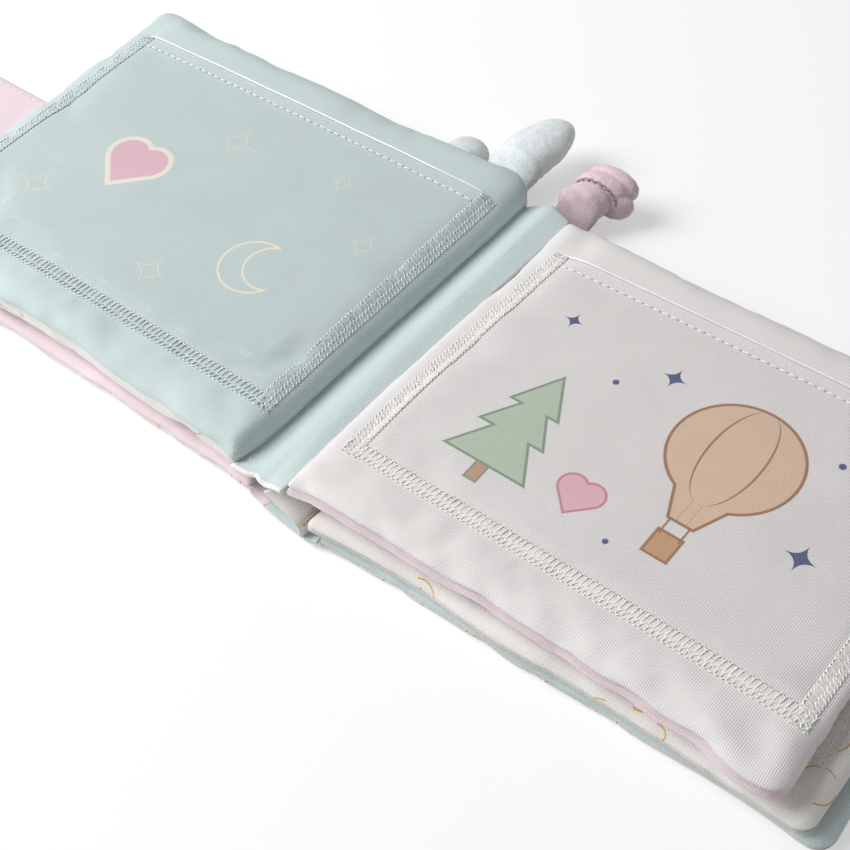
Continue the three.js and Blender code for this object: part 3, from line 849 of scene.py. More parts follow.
def pad_topology(rows, columns):
    """Faces of both grids of a pad, joined at the rim, with the place of each lower point in the list."""
    upper = np.arange(rows * columns).reshape(rows, columns)
    lower = upper.copy()
    following = rows * columns
    for j in range(rows):
        for i in range(columns):
            if 0 < j < rows - 1 and 0 < i < columns - 1:
                lower[j, i] = following
                following += 1
    faces, indices = [], []
    for j in range(rows - 1):
        for i in range(columns - 1):
            faces.append((upper[j, i], upper[j, i + 1], upper[j + 1, i + 1], upper[j + 1, i]))
            faces.append((lower[j, i], lower[j + 1, i], lower[j + 1, i + 1], lower[j, i + 1]))
            indices += [0, 1]
    return [tuple(int(v) for v in face) for face in faces], indices, lower


def pad_skin(panel, step, groove):
    """A pad's closed skin: points, faces, each face's look, depths from the edge, lengths along the cloth."""
    upper, lower, depth = pad_grids(panel, step, groove)
    faces, indices, place = pad_topology(*depth.shape)
    inner = place >= depth.size
    points = np.concatenate([upper.reshape(-1, 3), lower[inner]])
    depths = np.concatenate([depth.reshape(-1), depth[inner]])
    knit = {}
    for key, axis in (("wale", 1), ("course", 0)):
        knit[key] = np.concatenate([lengths_over(upper, axis).reshape(-1), lengths_over(lower, axis)[inner]])
    return points, faces, indices, depths, knit


def simulated(points, faces, voxel, pinned):
    """Puffs a closed skin with Blender's cloth: where a coarse copy starts, and how far its points move."""
    mesh = bpy.data.meshes.new("puff")
    mesh.from_pydata([tuple(c * MM for c in p) for p in points], [], faces)
    probe = bpy.data.objects.new("puff", mesh)
    scene = bpy.context.scene
    scene.collection.objects.link(probe)
    remesh = probe.modifiers.new("Remesh", "REMESH")
    remesh.mode = "VOXEL"
    remesh.voxel_size = voxel * MM
    bpy.context.view_layer.update()
    coarse = bpy.data.meshes.new_from_object(probe.evaluated_get(bpy.context.evaluated_depsgraph_get()))
    probe.modifiers.clear()
    probe.data = coarse
    before = np.array([v.co for v in coarse.vertices]) / MM
    sewn = probe.vertex_groups.new(name="sewn")
    sewn.add([k for k, p in enumerate(before) if pinned(*p)], 1.0, "REPLACE")
    cloth = probe.modifiers.new("Cloth", "CLOTH")
    settings = cloth.settings
    settings.quality = 4
    settings.use_pressure = True
    settings.uniform_pressure_force = 4.0
    settings.shrink_min = -0.03
    settings.bending_stiffness = 0.1
    settings.vertex_group_mass = "sewn"
    settings.effector_weights.gravity = 0.0
    cloth.point_cache.frame_start = 1
    cloth.point_cache.frame_end = PUFF_FRAMES
    for step in range(1, PUFF_FRAMES + 1):
        scene.frame_set(step)
    settled = probe.evaluated_get(bpy.context.evaluated_depsgraph_get()).to_mesh()
    after = np.array([v.co for v in settled.vertices]) / MM
    scene.frame_set(1)
    bpy.data.objects.remove(probe)
    return before, after - before


def puffed(points, faces, voxel, pinned, cap):
    """The points of a pad after its cloth is puffed, each moved no further than about the cap."""
    before, moved = simulated(points, faces, voxel, pinned)
    tree = kdtree.KDTree(len(before))
    for k, place in enumerate(before):
        tree.insert(place, k)
    tree.balance()
    result = np.array(points, float)
    for k, place in enumerate(points):
        near = tree.find_n(place, FOLLOWED)
        weights = np.array([1.0 / (found[2] + FOLLOW_SOFTLY) ** 2 for found in near])
        shift = (weights[:, None] * moved[[found[1] for found in near]]).sum(0) / weights.sum()
        length = float(np.linalg.norm(shift))
        if length > 1e-6:
            result[k] += shift * (cap * math.tanh(length / cap) / length)
    return result


def from_window(name, x, y):
    """Distance from the middle of the sewn band round a leaf's window; its far side is open."""
    (x0, x1), (y0, y1) = WINDOWS[name]
    x -= LEAVES[name].lean_at(x, y)
    x0, x1, y0 = x0 + SEAM_BAND / 2, x1 - SEAM_BAND / 2, y0 + SEAM_BAND / 2
    beyond = max(y0 - y, 0.0, y - y1)
    sides = min(math.hypot(x - x0, beyond), math.hypot(x - x1, beyond))
    return min(sides, math.hypot(y - y0, max(x0 - x, 0.0, x - x1)))


def pin_rule(name, panel, limits):
    """Which places of a pad the puffing leaves alone: its sewn side, where it rests or is covered, and its
    window's seam."""
    low_part, high_part = panel.seam - panel.low, panel.high - panel.seam

    def pinned(x, y, z):
        sewn_side = (x - panel.middle[0]) * panel.side < -panel.half[0] + SEWN_WIDTH
        rests = z < panel.seam - HELD_HEIGHT * low_part
        covered = limits == "both" and z > panel.seam + HELD_HEIGHT * high_part
        return sewn_side or rests or covered or (name in WINDOWS and from_window(name, x, y) < HELD_BY_SEAM)

    return pinned


def dent(name, panel, soft):
    """Sinks a leaf's upper face where its window's seam holds it down."""
    for spot in soft:
        if spot[2] > panel.seam + 0.5 * (panel.high - panel.seam):
            spot[2] -= DENT_DEPTH * math.exp(-((from_window(name, spot[0], spot[1]) / DENT_WIDTH) ** 2))


def gather(panel, soft, depths, limits):
    """Small gathers along the seam round a pad, which fade inwards."""
    pucker = size("pucker")
    centre = np.array([panel.middle[0], panel.middle[1], panel.seam])
    for k, spot in enumerate(soft):
        if depths[k] > GATHER_REACH * panel.edge:
            continue
        coarse = noise.noise(Vector(spot * GATHER_SCALE))
        wave = coarse + 0.5 * noise.noise(Vector(spot * GATHER_SCALE * FINE_GATHERS))
        fade = math.exp(-depths[k] / (GATHER_FADE * panel.edge)) * min(1.0, depths[k])
        away = spot - centre
        away[:2] /= panel.half
        outward = np.sign(away) * np.abs(away) ** 6
        outward[2] = 0.0
        length = float(np.linalg.norm(outward)) or 1.0
        soft[k] += outward / length * (pucker * wave * fade)
        if spot[2] > panel.seam and limits != "both":
            soft[k, 2] += pucker * GATHER_LIFT * wave * fade


def make_pad(name, panel, looks, limits, cap, voxel, step=3.0):
    """A padded panel: puffed cloth, dents where a window is sewn on, and small gathers along the seam. Limits
    say whether it keeps its height below only, or on both faces."""
    points, faces, indices, depths, knit = pad_skin(panel, step, size("groove"))
    soft = puffed(points, faces, voxel, pin_rule(name, panel, limits), cap)
    bottom = panel.low - panel.droop
    ceiling = panel.high if limits == "both" else panel.high + panel.crown + cap
    if name in WINDOWS:
        dent(name, panel, soft)
    soft[:, 2] = np.clip(soft[:, 2], bottom, ceiling)
    gather(panel, soft, depths, limits)
    soft[:, 2] = np.clip(soft[:, 2], bottom, ceiling)
    piece = new_piece(name, soft, faces, looks, indices, knit)
    SURFACES[name] = BVHTree.FromPolygons([tuple(p) for p in soft], faces)
    return piece


def surface_height(name, way):
    """Height of a pad's upper face, or lower face where way is -1, at a place in plan."""
    tree = SURFACES[name]

    def height(x, y):
        hit = tree.ray_cast(Vector((x, y, 100.0 * way)), Vector((0, 0, -way)))
        if hit[0] is None:
            raise ValueError(f"{name} has no cloth at {x:.1f}, {y:.1f}")
        return hit[0].z

    return height


def span(start, end, count):
    return [start + (end - start) * k / count for k in range(count + 1)]


# Pieces


class ALBUM_OT_leaves(bpy.types.Operator):
    """Makes the three padded leaves"""

    bl_idname = "album.leaves"
    bl_label = "Leaves"

    def execute(self, context):
        looks = {
            "leaf_1": ["jersey_mint_left", "jersey_cream_cream"],
            "leaf_2": ["jersey_white_right", "jersey_pink"],
            "leaf_3": ["jersey_cream_cream", "jersey_cream"],
        }
        caps = {"leaf_1": 1.3, "leaf_2": 1.1, "leaf_3": 0.6}
        voxel = 4.5
        for name, panel in LEAVES.items():
            limits = "both" if name == "leaf_3" else "below"
            pad = make_pad(name, panel, looks[name], limits, caps[name], voxel)
            pad.name = f"{name}_pad"
            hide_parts(f"{name}_upper_cloth", f"{name}_lower_cloth", f"{name}_wadding")
            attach(pad, name)
        return {"FINISHED"}


class ALBUM_OT_covers(bpy.types.Operator):
    """Makes the two padded covers"""

    bl_idname = "album.covers"
    bl_label = "Covers"

    def execute(self, context):
        linings = {"front_cover": "jersey_pink", "back_cover": "jersey_mint"}
        bodies = {"front_cover": "front_cover", "back_cover": "base"}
        for name, panel in COVERS.items():
            pad = make_pad(name, panel, [linings[name], "jersey_cream_cream"], "both", cap=0.7, voxel=3.5)
            pad.name = f"{name}_pad"
            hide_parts(f"{name}_lining", f"{name}_outer_cloth", f"{name}_wadding")
            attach(pad, bodies[name])
        return {"FINISHED"}


class Window:
    """A photo window on one face of a leaf: its film, overlock seam and hem stitching."""

    # Film: how far it reaches under the seam, its height above the cloth and its thickness, the rolled edge
    # of its hem, and its ripples
    UNDER_SEAM = 2.6
    FILM_ABOVE = 0.18
    FILM_THICK = 0.16
    HEM_THICK = 0.22
    EDGE_BEYOND = 0.25
    EDGE_ABOVE = 0.5
    EDGE_RADIUS = 0.42
    RIPPLE = 0.16
    RIPPLE_SCALE = 0.045

    # Overlock seam: the bed of thread across the band and its height, flatter on the mint page; the two rows
    # of rungs across the band, crossed ones closer together, with their unevenness in place and in thickness;
    # the three lines of loops with their heights
    BED = (0.75, SEAM_BAND - 0.15)
    BED_LOW = 0.1
    BED_HIGH = 0.44
    BED_HIGH_MINT = 0.34
    RUNGS = ((0.9, 3.0), (2.8, 5.9))
    RUNG_SLANTS = (0.25, 0.45)
    RUNG_ABOVE = 0.32
    RUNG_ARCH = 0.14
    CROSSED_PITCH = 0.8
    RUNG_JITTER = 0.25
    RUNG_UNEVEN = 0.15
    LOOPS = ((0.95, 0.3), (2.9, 0.46), (5.85, 0.3))
    LOOP_SWAY = 0.34
    LOOP_LIFT = 0.1
    LOOP_RADIUS = 0.75

    # Hem stitching: distance from the hem's edge, pitch over the dash's length, first gap, height, arch and
    # radius
    DASH_IN = 0.65
    DASH_PITCH = 1.32
    DASH_GAP = 0.15
    DASH_ABOVE = 0.26
    DASH_ARCH = 0.08
    DASH_RADIUS = 0.28

    def __init__(self, leaf, way):
        self.way = way
        self.panel = LEAVES[leaf]
        (self.x0, self.x1), (self.y0, self.y1) = WINDOWS[leaf]
        self.height = surface_height(leaf, way)
        self.bed_high = self.BED_HIGH_MINT if (leaf, way) == ("leaf_1", 1) else self.BED_HIGH

    def point(self, x, y, above):
        """A point above the cloth, at a place of the window's plain box."""
        across, along = x + self.panel.lean_at(x, y), self.panel.along(x, y)
        return Vector((across, along, self.height(across, along) + self.way * above))

    def ripple(self, x, y):
        """How far the film stands off the cloth, most at its open side."""
        u, v = (x - self.x0) / (self.x1 - self.x0), (y - self.y0) / (self.y1 - self.y0)
        free = math.sin(math.pi * u) * min(max(v, 0.0), 1.0)
        wave = noise.noise(Vector((x * self.RIPPLE_SCALE, y * self.RIPPLE_SCALE, 3.0 * self.way))) + 1.0
        return self.RIPPLE * free * wave

    def film(self, name):
        """The film, the folded hem along its open side and the hem's rolled edge."""
        bundle = Bundle()
        tuck = SEAM_BAND - self.UNDER_SEAM
        xs = span(self.x0 + tuck, self.x1 - tuck, 44)
        ys = span(self.y0 + tuck, self.y1 - HEM, 26)
        hem = span(self.y1 - HEM, self.y1, 3)

        def layer(rows, thick):
            low = [[self.point(x, y, self.FILM_ABOVE + self.ripple(x, y)) for x in xs] for y in rows]
            high = [[self.point(x, y, self.FILM_ABOVE + self.ripple(x, y) + thick) for x in xs] for y in rows]
            return (low, high) if self.way > 0 else (high, low)

        bundle.slab(*layer(ys, self.FILM_THICK), 0)
        bundle.slab(*layer(hem, self.HEM_THICK), 1)
        edge_y = self.y1 + self.EDGE_BEYOND
        edge = [self.point(x, edge_y, self.EDGE_ABOVE + self.ripple(x, self.y1)) for x in xs]
        # The rolled edge is drawn near white and nearly opaque: a painted highlight along the film's edge
        bundle.tube(edge, self.EDGE_RADIUS, 2, sides=8)
        return bundle.piece(name, ["film", "film_hem", "film_edge"])

    def seam(self, name, looks):
        """The overlock seam on three sides, its rungs crossed on the two short ones."""
        bundle = Bundle()
        self.bed(bundle)
        sides = (
            ((self.x0, self.y1), (self.x0, self.y0), (1, 0), True),
            ((self.x0, self.y0), (self.x1, self.y0), (0, 1), False),
            ((self.x1, self.y0), (self.x1, self.y1), (-1, 0), True),
        )
        for start, end, inward, crossed in sides:
            self.ladder(bundle, start, end, inward, crossed)
        return bundle.piece(name, looks)

    def bed(self, bundle):
        """The flat bed of thread under the stitches, round three sides and mitred at the near corners."""
        count, columns = 24, 6
        rows = [(self.x1, y, -1, 0) for y in span(self.y1, self.y0 + SEAM_BAND, count)]
        rows.append((self.x1, self.y0, -1, 1))
        rows += [(x, self.y0, 0, 1) for x in span(self.x1 - SEAM_BAND, self.x0 + SEAM_BAND, count)]
        rows.append((self.x0, self.y0, 1, 1))
        rows += [(self.x0, y, 1, 0) for y in span(self.y0 + SEAM_BAND, self.y1, count)]
        steps = span(*self.BED, columns)
        rounding = [max(0.2, math.sin(math.pi * k / columns) ** 0.5) for k in range(columns + 1)]
        layers = []
        for thick in (0.0, self.bed_high - self.BED_LOW):
            heights = [self.BED_LOW + thick * share for share in rounding]
            across = list(zip(steps, heights))
            layer = []
            for x, y, in_x, in_y in rows:
                layer.append([self.point(x + in_x * t, y + in_y * t, z) for t, z in across])
            layers.append(layer)
        lower, upper = layers if self.way > 0 else reversed(layers)
        # The bed's darker look paints the shade in the gaps between the rungs
        bundle.slab(lower, upper, 2)

    def ladder(self, bundle, start, end, inward, crossed):
        """Overlock stitches along one side: two rows of rungs held by three lines of loops."""
        pitch, radius = size("pitch") * (self.CROSSED_PITCH if crossed else 1.0), size("thread")
        run = math.dist(start, end)
        ahead = ((end[0] - start[0]) / run, (end[1] - start[1]) / run)
        count = int(run / pitch)

        def spot(s, t, above):
            x = start[0] + ahead[0] * s + inward[0] * t
            y = start[1] + ahead[1] * s + inward[1] * t
            return self.point(x, y, above)

        for k in range(count):
            jitter = noise.noise(Vector((k * 1.7, run, self.way)))
            s = (k + 0.5 + self.RUNG_JITTER * jitter) * run / count
            for (near, far), lie in zip(self.RUNGS, self.RUNG_SLANTS):
                slant = pitch * lie * (1 if not crossed or k % 2 else -1)
                path = []
                for share in (0.0, 0.25, 0.5, 0.75, 1.0):
                    along = min(max(s + slant * (share - 0.5), 0), run)
                    above = self.RUNG_ABOVE + self.RUNG_ARCH * math.sin(math.pi * share)
                    path.append(spot(along, near + (far - near) * share, above))
                bundle.tube(path, radius * (1.0 + self.RUNG_UNEVEN * jitter), 0)
        bends = count * 4
        for line, (t, above) in enumerate(self.LOOPS):
            path = []
            for k in range(bends + 1):
                turn = k * math.pi / 2 + line
                across, height = t + self.LOOP_SWAY * math.sin(turn), above + self.LOOP_LIFT * math.cos(turn)
                path.append(spot(k * run / bends, across, height))
            bundle.tube(path, radius * self.LOOP_RADIUS, 1, sides=4)

    def hem(self, name):
        """Dashes of bright thread that hold the hem."""
        bundle = Bundle()
        dash = size("dash")
        y = self.y1 - HEM + self.DASH_IN
        left = self.x0 + SEAM_BAND
        width = self.x1 - self.x0 - 2 * SEAM_BAND
        count = int(width / (dash * self.DASH_PITCH))
        pitch = width / count
        for k in range(count):
            path = []
            for share in (0.0, 0.2, 0.5, 0.8, 1.0):
                x = left + (k + self.DASH_GAP) * pitch + share * dash
                above = self.DASH_ABOVE + self.ripple(x, y) + self.DASH_ARCH * math.sin(math.pi * share)
                path.append(self.point(x, y, above))
            bundle.tube(path, self.DASH_RADIUS, 0)
        return bundle.piece(name, ["thread_bright"])


class ALBUM_OT_windows(bpy.types.Operator):
    """Makes the clear photo windows with their stitching on both faces of each leaf"""

    bl_idname = "album.windows"
    bl_label = "Windows"

    def execute(self, context):
        for leaf in LEAVES:
            for face, way in (("upper", 1), ("lower", -1)):
                window = Window(leaf, way)
                node = f"{leaf}_{face}_window"
                thread = "teal" if node == "leaf_1_upper_window" else "ivory"
                film = window.film(f"{node}_clear_film")
                seam = window.seam(f"{node}_overlock", [f"thread_{thread}", "thread_bright", f"bed_{thread}"])
                hem = window.hem(f"{node}_hem_dashes")
                width, length = window.x1 - window.x0 - SEAM_BAND, window.y1 - window.y0
                width * MM
                length * MM
                for piece, part, slot in (
                    (film, "film", "film"),
                    (seam, "overlock_seam", f"{thread}_thread"),
                    (hem, "hem_stitch", "ivory_thread"),
                ):
                    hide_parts(f"{node}_{part}")
                    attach(piece, leaf)
        return {"FINISHED"}


def smooth_line(points, count):
    """A smooth line through points in X and Z, cut evenly."""
    knots = [points[0], *points, points[-1]]
    raw = []
    for k in range(1, len(knots) - 2):
        a, b, c, d = (np.array(knots[k + n], float) for n in (-1, 0, 1, 2))
        for t in np.linspace(0, 1, 12, endpoint=False):
            bend = (2 * a - 5 * b + 4 * c - d) * t**2
            raw.append(0.5 * (2 * b + (c - a) * t + bend + (3 * b - 3 * c + d - a) * t**3))
    raw.append(np.array(points[-1], float))
    raw = np.array(raw)
    run = np.concatenate([[0.0], np.cumsum(np.linalg.norm(np.diff(raw, axis=0), axis=1))])
    even = np.linspace(0, run[-1], count + 1)
    return np.stack([np.interp(even, run, raw[:, axis]) for axis in (0, 1)], axis=1)


def sheet_normals(grid):
    """Upward normals of a sheet at its points."""
    out = np.cross(np.gradient(grid, axis=1), np.gradient(grid, axis=0))
    return out / np.linalg.norm(out, axis=2)[..., None]


def cloth_sheet(name, grid, thick, looks, hem=0, normals=None, joined=None):
    """A sheet of cloth over a grid of points, with columns along X and rows along Y. Its first rows may be a
    hem, which is thicker and has the second look. A column joined to another sheet keeps the normals that it
    is given, so that no line shows there. Returns the piece and its mean width and length."""
    grid = np.asarray(grid, float)
    rows, columns, _ = grid.shape
    out = sheet_normals(grid) if normals is None else normals
    hem_share, end_share = 1.5, 0.6
    half = np.full(rows, thick / 2)
    half[:hem] *= hem_share
    half[[0, -1]] *= end_share
    lower, upper = grid - out * half[:, None, None], grid + out * half[:, None, None]
    count = rows * columns
    faces = slab_faces(rows, columns, 0, count)
    indices = [1 if min(v % count // columns for v in face) < hem else 0 for face in faces]
    across, along = lengths_over(grid, 1), lengths_over(grid, 0)
    attributes = {"wale": np.tile(across.reshape(-1), 2), "course": np.tile(along.reshape(-1), 2)}
    points = np.concatenate([lower.reshape(-1, 3), upper.reshape(-1, 3)])
    piece = new_piece(name, points, faces, looks, indices, attributes)
    if joined is not None:
        kept = np.zeros((2, rows, columns, 3))
        kept[0, :, joined], kept[1, :, joined] = -out[:, joined], out[:, joined]
        piece.data.normals_split_custom_set_from_vertices(kept.reshape(-1, 3).tolist())
    return piece, float(np.ptp(across, axis=1).mean()), float(np.ptp(along, axis=0).mean())


def eased_share(value):
    """From 0 to 1, smoothly, and level beyond."""
    value = min(max(value, 0.0), 1.0)
    return value * value * (3 - 2 * value)


class ALBUM_OT_spine(bpy.types.Operator):
    """Makes the cloth spine with its two-coloured lining"""

    bl_idname = "album.spine"
    bl_label = "Spine"

    # Edges at the covers, how far the ends draw back at the front cover, the slant of the lining's joint, and
    # the cloth's thickness
    LEFT = -14.6
    RIGHT = 17.1
    DRAWN_BACK = 2.9
    DRAWN_WIDTH = 26.0
    SLANT = -4.6
    SLANT_REACH = 12.0
    SLANT_WIDTH = 5.0
    THICK = 1.0

    def execute(self, context):
        left, right = self.LEFT, self.RIGHT
        outer = [(left, 3.3), (-13.2, 1.4), (-10.5, 0.6), (2, 0.6), (13.2, 0.6), (15.8, 1.4), (right, 3.3)]
        pink = [(left, 3.9), (-13.0, 2.7), (-10.5, 1.9), (-6, 1.85), (LINING_JOINT - 0.2, 1.9)]
        mint = [(LINING_JOINT + 0.2, 1.9), (2, 1.85), (13.0, 1.9), (15.5, 2.7), (right, 3.9)]
        sheets = (
            ("spine_outer_sheet", outer, 40, "jersey_cream_cream", "spine_outer_cloth", "cream_cloth", 0.0),
            ("spine_pink_sheet", pink, 20, "jersey_pink", "spine_pink_lining", "pink_cloth", 0.12),
            ("spine_mint_sheet", mint, 28, "jersey_mint", "spine_mint_lining", "mint_cloth", 0.12),
        )
        for name, line, columns, material, node, slot, ripple in sheets:
            grid = self.grid(smooth_line(line, columns), ripple)
            sheet, width, length = cloth_sheet(name, grid, self.THICK, [material])
            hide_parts(node)
            if node == "spine_mint_lining":
                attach(sheet, "base")
            else:
                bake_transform(sheet)
        self.joint()
        return {"FINISHED"}

    def joint(self):
        """The thread that joins the two colours of the lining."""
        setback, step, radius, height = 2.4, 0.5, 0.22, 2.3
        twist, sway, lift = 2.1, 0.1, 0.05
        path = []
        for y in np.arange(SPINE_NEAR + setback, SPINE_FAR - setback, step):
            turn = y * twist
            x = LINING_JOINT + self.slant(y) + sway * math.sin(turn)
            path.append((x, y, height + lift * math.cos(turn)))
        bundle = Bundle()
        bundle.tube(path, radius)
        joint = bundle.piece("spine_lining_joint", ["thread_bright"])
        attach(joint, "base")

    def slant(self, y):
        """How far the lining's joint runs off to the left at its near end."""
        return self.SLANT * math.exp(-(y - SPINE_NEAR) / self.SLANT_REACH)

    def beside_joint(self, x):
        """How much of that slant the lining beside the joint has."""
        return math.exp(-(((x - LINING_JOINT) / self.SLANT_WIDTH) ** 2))

    def grid(self, line, ripple):
        """Rows of points along Y; the ends draw back where the spine meets the front cover."""
        rows = []
        for share in span(0.0, 1.0, 60):
            row = []
            for x, z in line:
                reach = SPINE_FAR - self.DRAWN_BACK * (1 - eased_share((x - self.LEFT) / self.DRAWN_WIDTH))
                y = -reach + 2 * reach * share
                wave = ripple * noise.noise(Vector((x * 0.2, y * 0.08, 7.0)))
                row.append((x + self.slant(y) * self.beside_joint(x), y, z + wave))
            rows.append(row)
        return rows


# Near ends of the valleys: pull of the first and its reach, sink of the third and the reach of its sag
VALLEY_PULL = -3.4
VALLEY_PULL_REACH = 8.0
FOOT_SINK = 2.6
FOOT_SAG_REACH = 6.5


def valley_pull(y):
    """How far the first valley's near end is pulled to the left."""
    return VALLEY_PULL * math.exp(-(y - MINT_NEAR) / VALLEY_PULL_REACH)


def foot_sag(y):
    """How much of its sag the third valley has at a place along it."""
    return math.exp(-(y - CREAM_NEAR) / FOOT_SAG_REACH)


class ALBUM_OT_gussets(bpy.types.Operator):
    """Makes the soft strips between the leaves"""

    bl_idname = "album.gussets"
    bl_label = "Gussets"

    THICK = 1.0

    # Mint strip: its edge beside the first valley, its columns and how many of them are slope, thickness,
    # rows of hem, a place across the slope beside the front cover's fold and one past the ridge, and shares
    # of the gutter's lean across it
    LEFT = VALLEY_1[0] - 1.8
    COLUMNS = 32
    SLOPE_COLUMNS = 25
    MINT_THICK = 1.2
    HEM_ROWS = 2
    FOLD_END = -7.9
    RIDGE_END = RIDGE_2[0] + 0.5
    LEANS = ((0.0, 0.5, 0.76, 1.0), (VALLEY_LEAN, 0.3, 0.0, 1.0))

    # Its far end slants back to the ridge and is drawn in beside the valley; its near end runs out and has
    # a notch
    FAR_SLANT = 8.0
    FAR_DRAWN_IN = 6.0
    FAR_DRAWN_SHARE = 0.35
    NEAR_SLANT = 1.5
    NOTCH = 1.0
    NOTCH_PLACE = 0.45
    NOTCH_WIDTH = 0.08

    # Its near end is slack and hollow, its far end is turned over, and it is wavy all along
    SLACK_REACH = 9.0
    SLACK_SAG = 0.4
    HOLLOW = 1.1
    HOLLOW_PLACE = 0.68
    HOLLOW_WIDTH = 0.12
    HOLLOW_REACH = 20.0
    LIP = 1.8
    LIP_REACH = 2.0
    LIP_POWER = 0.85
    WAVE = 0.25

    # Cream strip: its top and its foot, how far its near end hangs out to the left and sinks more at the top,
    # where that top starts and its height, and the height of the foot, which sinks less
    CREAM_TOP = 19.0
    CREAM_FOOT = VALLEY_3[0] - 1.2
    HANG = 2.2
    HANG_MORE = 4.6
    SINK_MORE = 0.4
    TOP_START = 9.0
    TOP_HEIGHT = 10.0
    FOOT_HEIGHT = 6.0

    def execute(self, context):
        self.mint_strip()
        self.mint_wall()
        self.cream_strip()
        return {"FINISHED"}

    def mint_strip(self):
        """The rounded strip from the first valley to the ridge, in two pieces."""
        profile = [
            (self.LEFT, 14.3), (VALLEY_1[0], 14.6), (-11.4, 15.0), (-9.6, 15.7), (-8.0, 16.9), (-6.2, 18.7),
            (-4.2, 20.3), (-2.2, 21.3), (-0.2, 21.7), (2.3, 21.4), (RIDGE_2[0] + 1.0, RIDGE_2[1]),
        ]
        line = smooth_line(profile, self.COLUMNS)
        shares = [0.0, 0.004, 0.009, 0.016, *span(0.03, 0.97, 62), 0.985, 0.993, 1.0]
        grid = np.array([self.mint_row(line, share) for share in shares])
        normals = sheet_normals(grid)
        split = self.SLOPE_COLUMNS
        looks = ["jersey_mint", "jersey_cream"]
        cloth = {"thick": self.MINT_THICK, "looks": looks, "hem": self.HEM_ROWS}
        near_side, far_side = slice(None, split + 1), slice(split, None)
        slope, width, length = cloth_sheet(
            "mint_gusset_slope", grid[:, near_side], **cloth, normals=normals[:, near_side], joined=-1
        )
        ridge, _, _ = cloth_sheet(
            "mint_gusset_ridge", grid[:, far_side], **cloth, normals=normals[:, far_side], joined=0
        )
        seam = grid[:, split, 0]
        margin = 0.05
        for strip, body, start, end in (
            (slope, "front_cover", seam.min() - margin, self.FOLD_END),
            (ridge, "leaf_3", seam.max() + margin, self.RIDGE_END),
        ):
            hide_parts("mint_gusset_strip")
            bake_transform(strip)

    def mint_wall(self):
        """The strip's hidden wall, from the spine up to the first valley."""
        left = self.LEFT
        near_setback, far_setback, lean_height = 11, 2, 10.0
        profile = [(left + 1.9, GUSSET_FOOT), (left + 2.2, 8), (left + 1.8, VALLEY_1[1] - 1.6)]
        line = smooth_line(profile, 12)
        rows = []
        for y in span(MINT_NEAR + near_setback, MINT_FAR - far_setback, 50):
            lean = VALLEY_LEAN * far_lean(y)
            rows.append([(x + lean * (z - GUSSET_FOOT) / lean_height, y, z) for x, z in line])
        wall, width, length = cloth_sheet("mint_gusset_wall", rows, self.THICK, ["jersey_mint"])
        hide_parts("mint_gusset_strip")
        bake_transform(wall)

    def cream_strip(self):
        """The strip from the ridge under leaf 2 down past the third valley to the spine."""
        foot = self.CREAM_FOOT
        profile = [
            (RIDGE_2[0] + 0.3, self.CREAM_TOP), (7.2, 16.2), (10.4, 13.2), (foot - 0.3, 10.2),
            (foot - 0.1, 7), (foot, GUSSET_FOOT),
        ]
        line = smooth_line(profile, 30)
        places = [CREAM_NEAR + (CREAM_FAR - CREAM_NEAR) * share**1.6 for share in span(0.0, 1.0, 60)]
        rows = [self.cream_row(line, y) for y in places]
        looks = ["jersey_cream", "jersey_white"]
        strip, width, length = cloth_sheet("cream_gusset", rows, self.THICK, looks, hem=1)
        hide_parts("cream_gusset_strip")
        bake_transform(strip)

    def mint_ends(self, share):
        """Where the mint strip ends, near and far, at a share of its width."""
        drawn_in = self.FAR_DRAWN_IN * max(0.0, 1 - share / self.FAR_DRAWN_SHARE) ** 2
        notch = self.NOTCH * math.exp(-(((share - self.NOTCH_PLACE) / self.NOTCH_WIDTH) ** 2))
        return MINT_NEAR - self.NEAR_SLANT * share + notch, MINT_FAR - self.FAR_SLANT * share**1.5 - drawn_in

    def mint_row(self, line, along):
        """The mint strip across its width, at a share of its length."""
        row = []
        (left, low), (right, high) = line[0], line[-1]
        for x, z in line:
            share = (x - left) / (right - left)
            near, far = self.mint_ends(share)
            y = near + along * (far - near)
            slack = math.exp(-(y - near) / self.SLACK_REACH)
            arch = math.sin(math.pi * share)
            off_middle = (share - self.HOLLOW_PLACE) / self.HOLLOW_WIDTH
            z += (low + share * (high - low) - z - self.SLACK_SAG * arch) * slack
            z -= self.LIP * math.exp(-(far - y) / self.LIP_REACH) * arch**self.LIP_POWER
            z -= self.HOLLOW * math.exp(-(off_middle**2) - (y - near) / self.HOLLOW_REACH)
            z += self.WAVE * arch * noise.noise(Vector((share * 1.5, y * 0.06, 2.0)))
            lean = far_lean(y) * float(np.interp(share, *self.LEANS))
            row.append((x + valley_pull(y) * (1 - share) + lean, y, z))
        return row

    def cream_row(self, line, y):
        """The cream strip across its width; its near end hangs out to the left and sinks."""
        near = foot_sag(y)
        height = self.CREAM_TOP - GUSSET_FOOT
        row = []
        for x, z in line:
            up = eased_share((z - self.TOP_START) / self.TOP_HEIGHT)
            sunk = min(1.0, max(0.0, (z - GUSSET_FOOT) / self.FOOT_HEIGHT))
            lean = far_lean(y) * (z - GUSSET_FOOT) / height
            hang = (self.HANG + self.HANG_MORE * up) * near
            row.append((x - hang + lean, y, z - (FOOT_SINK + self.SINK_MORE * up) * near * sunk))
        return row


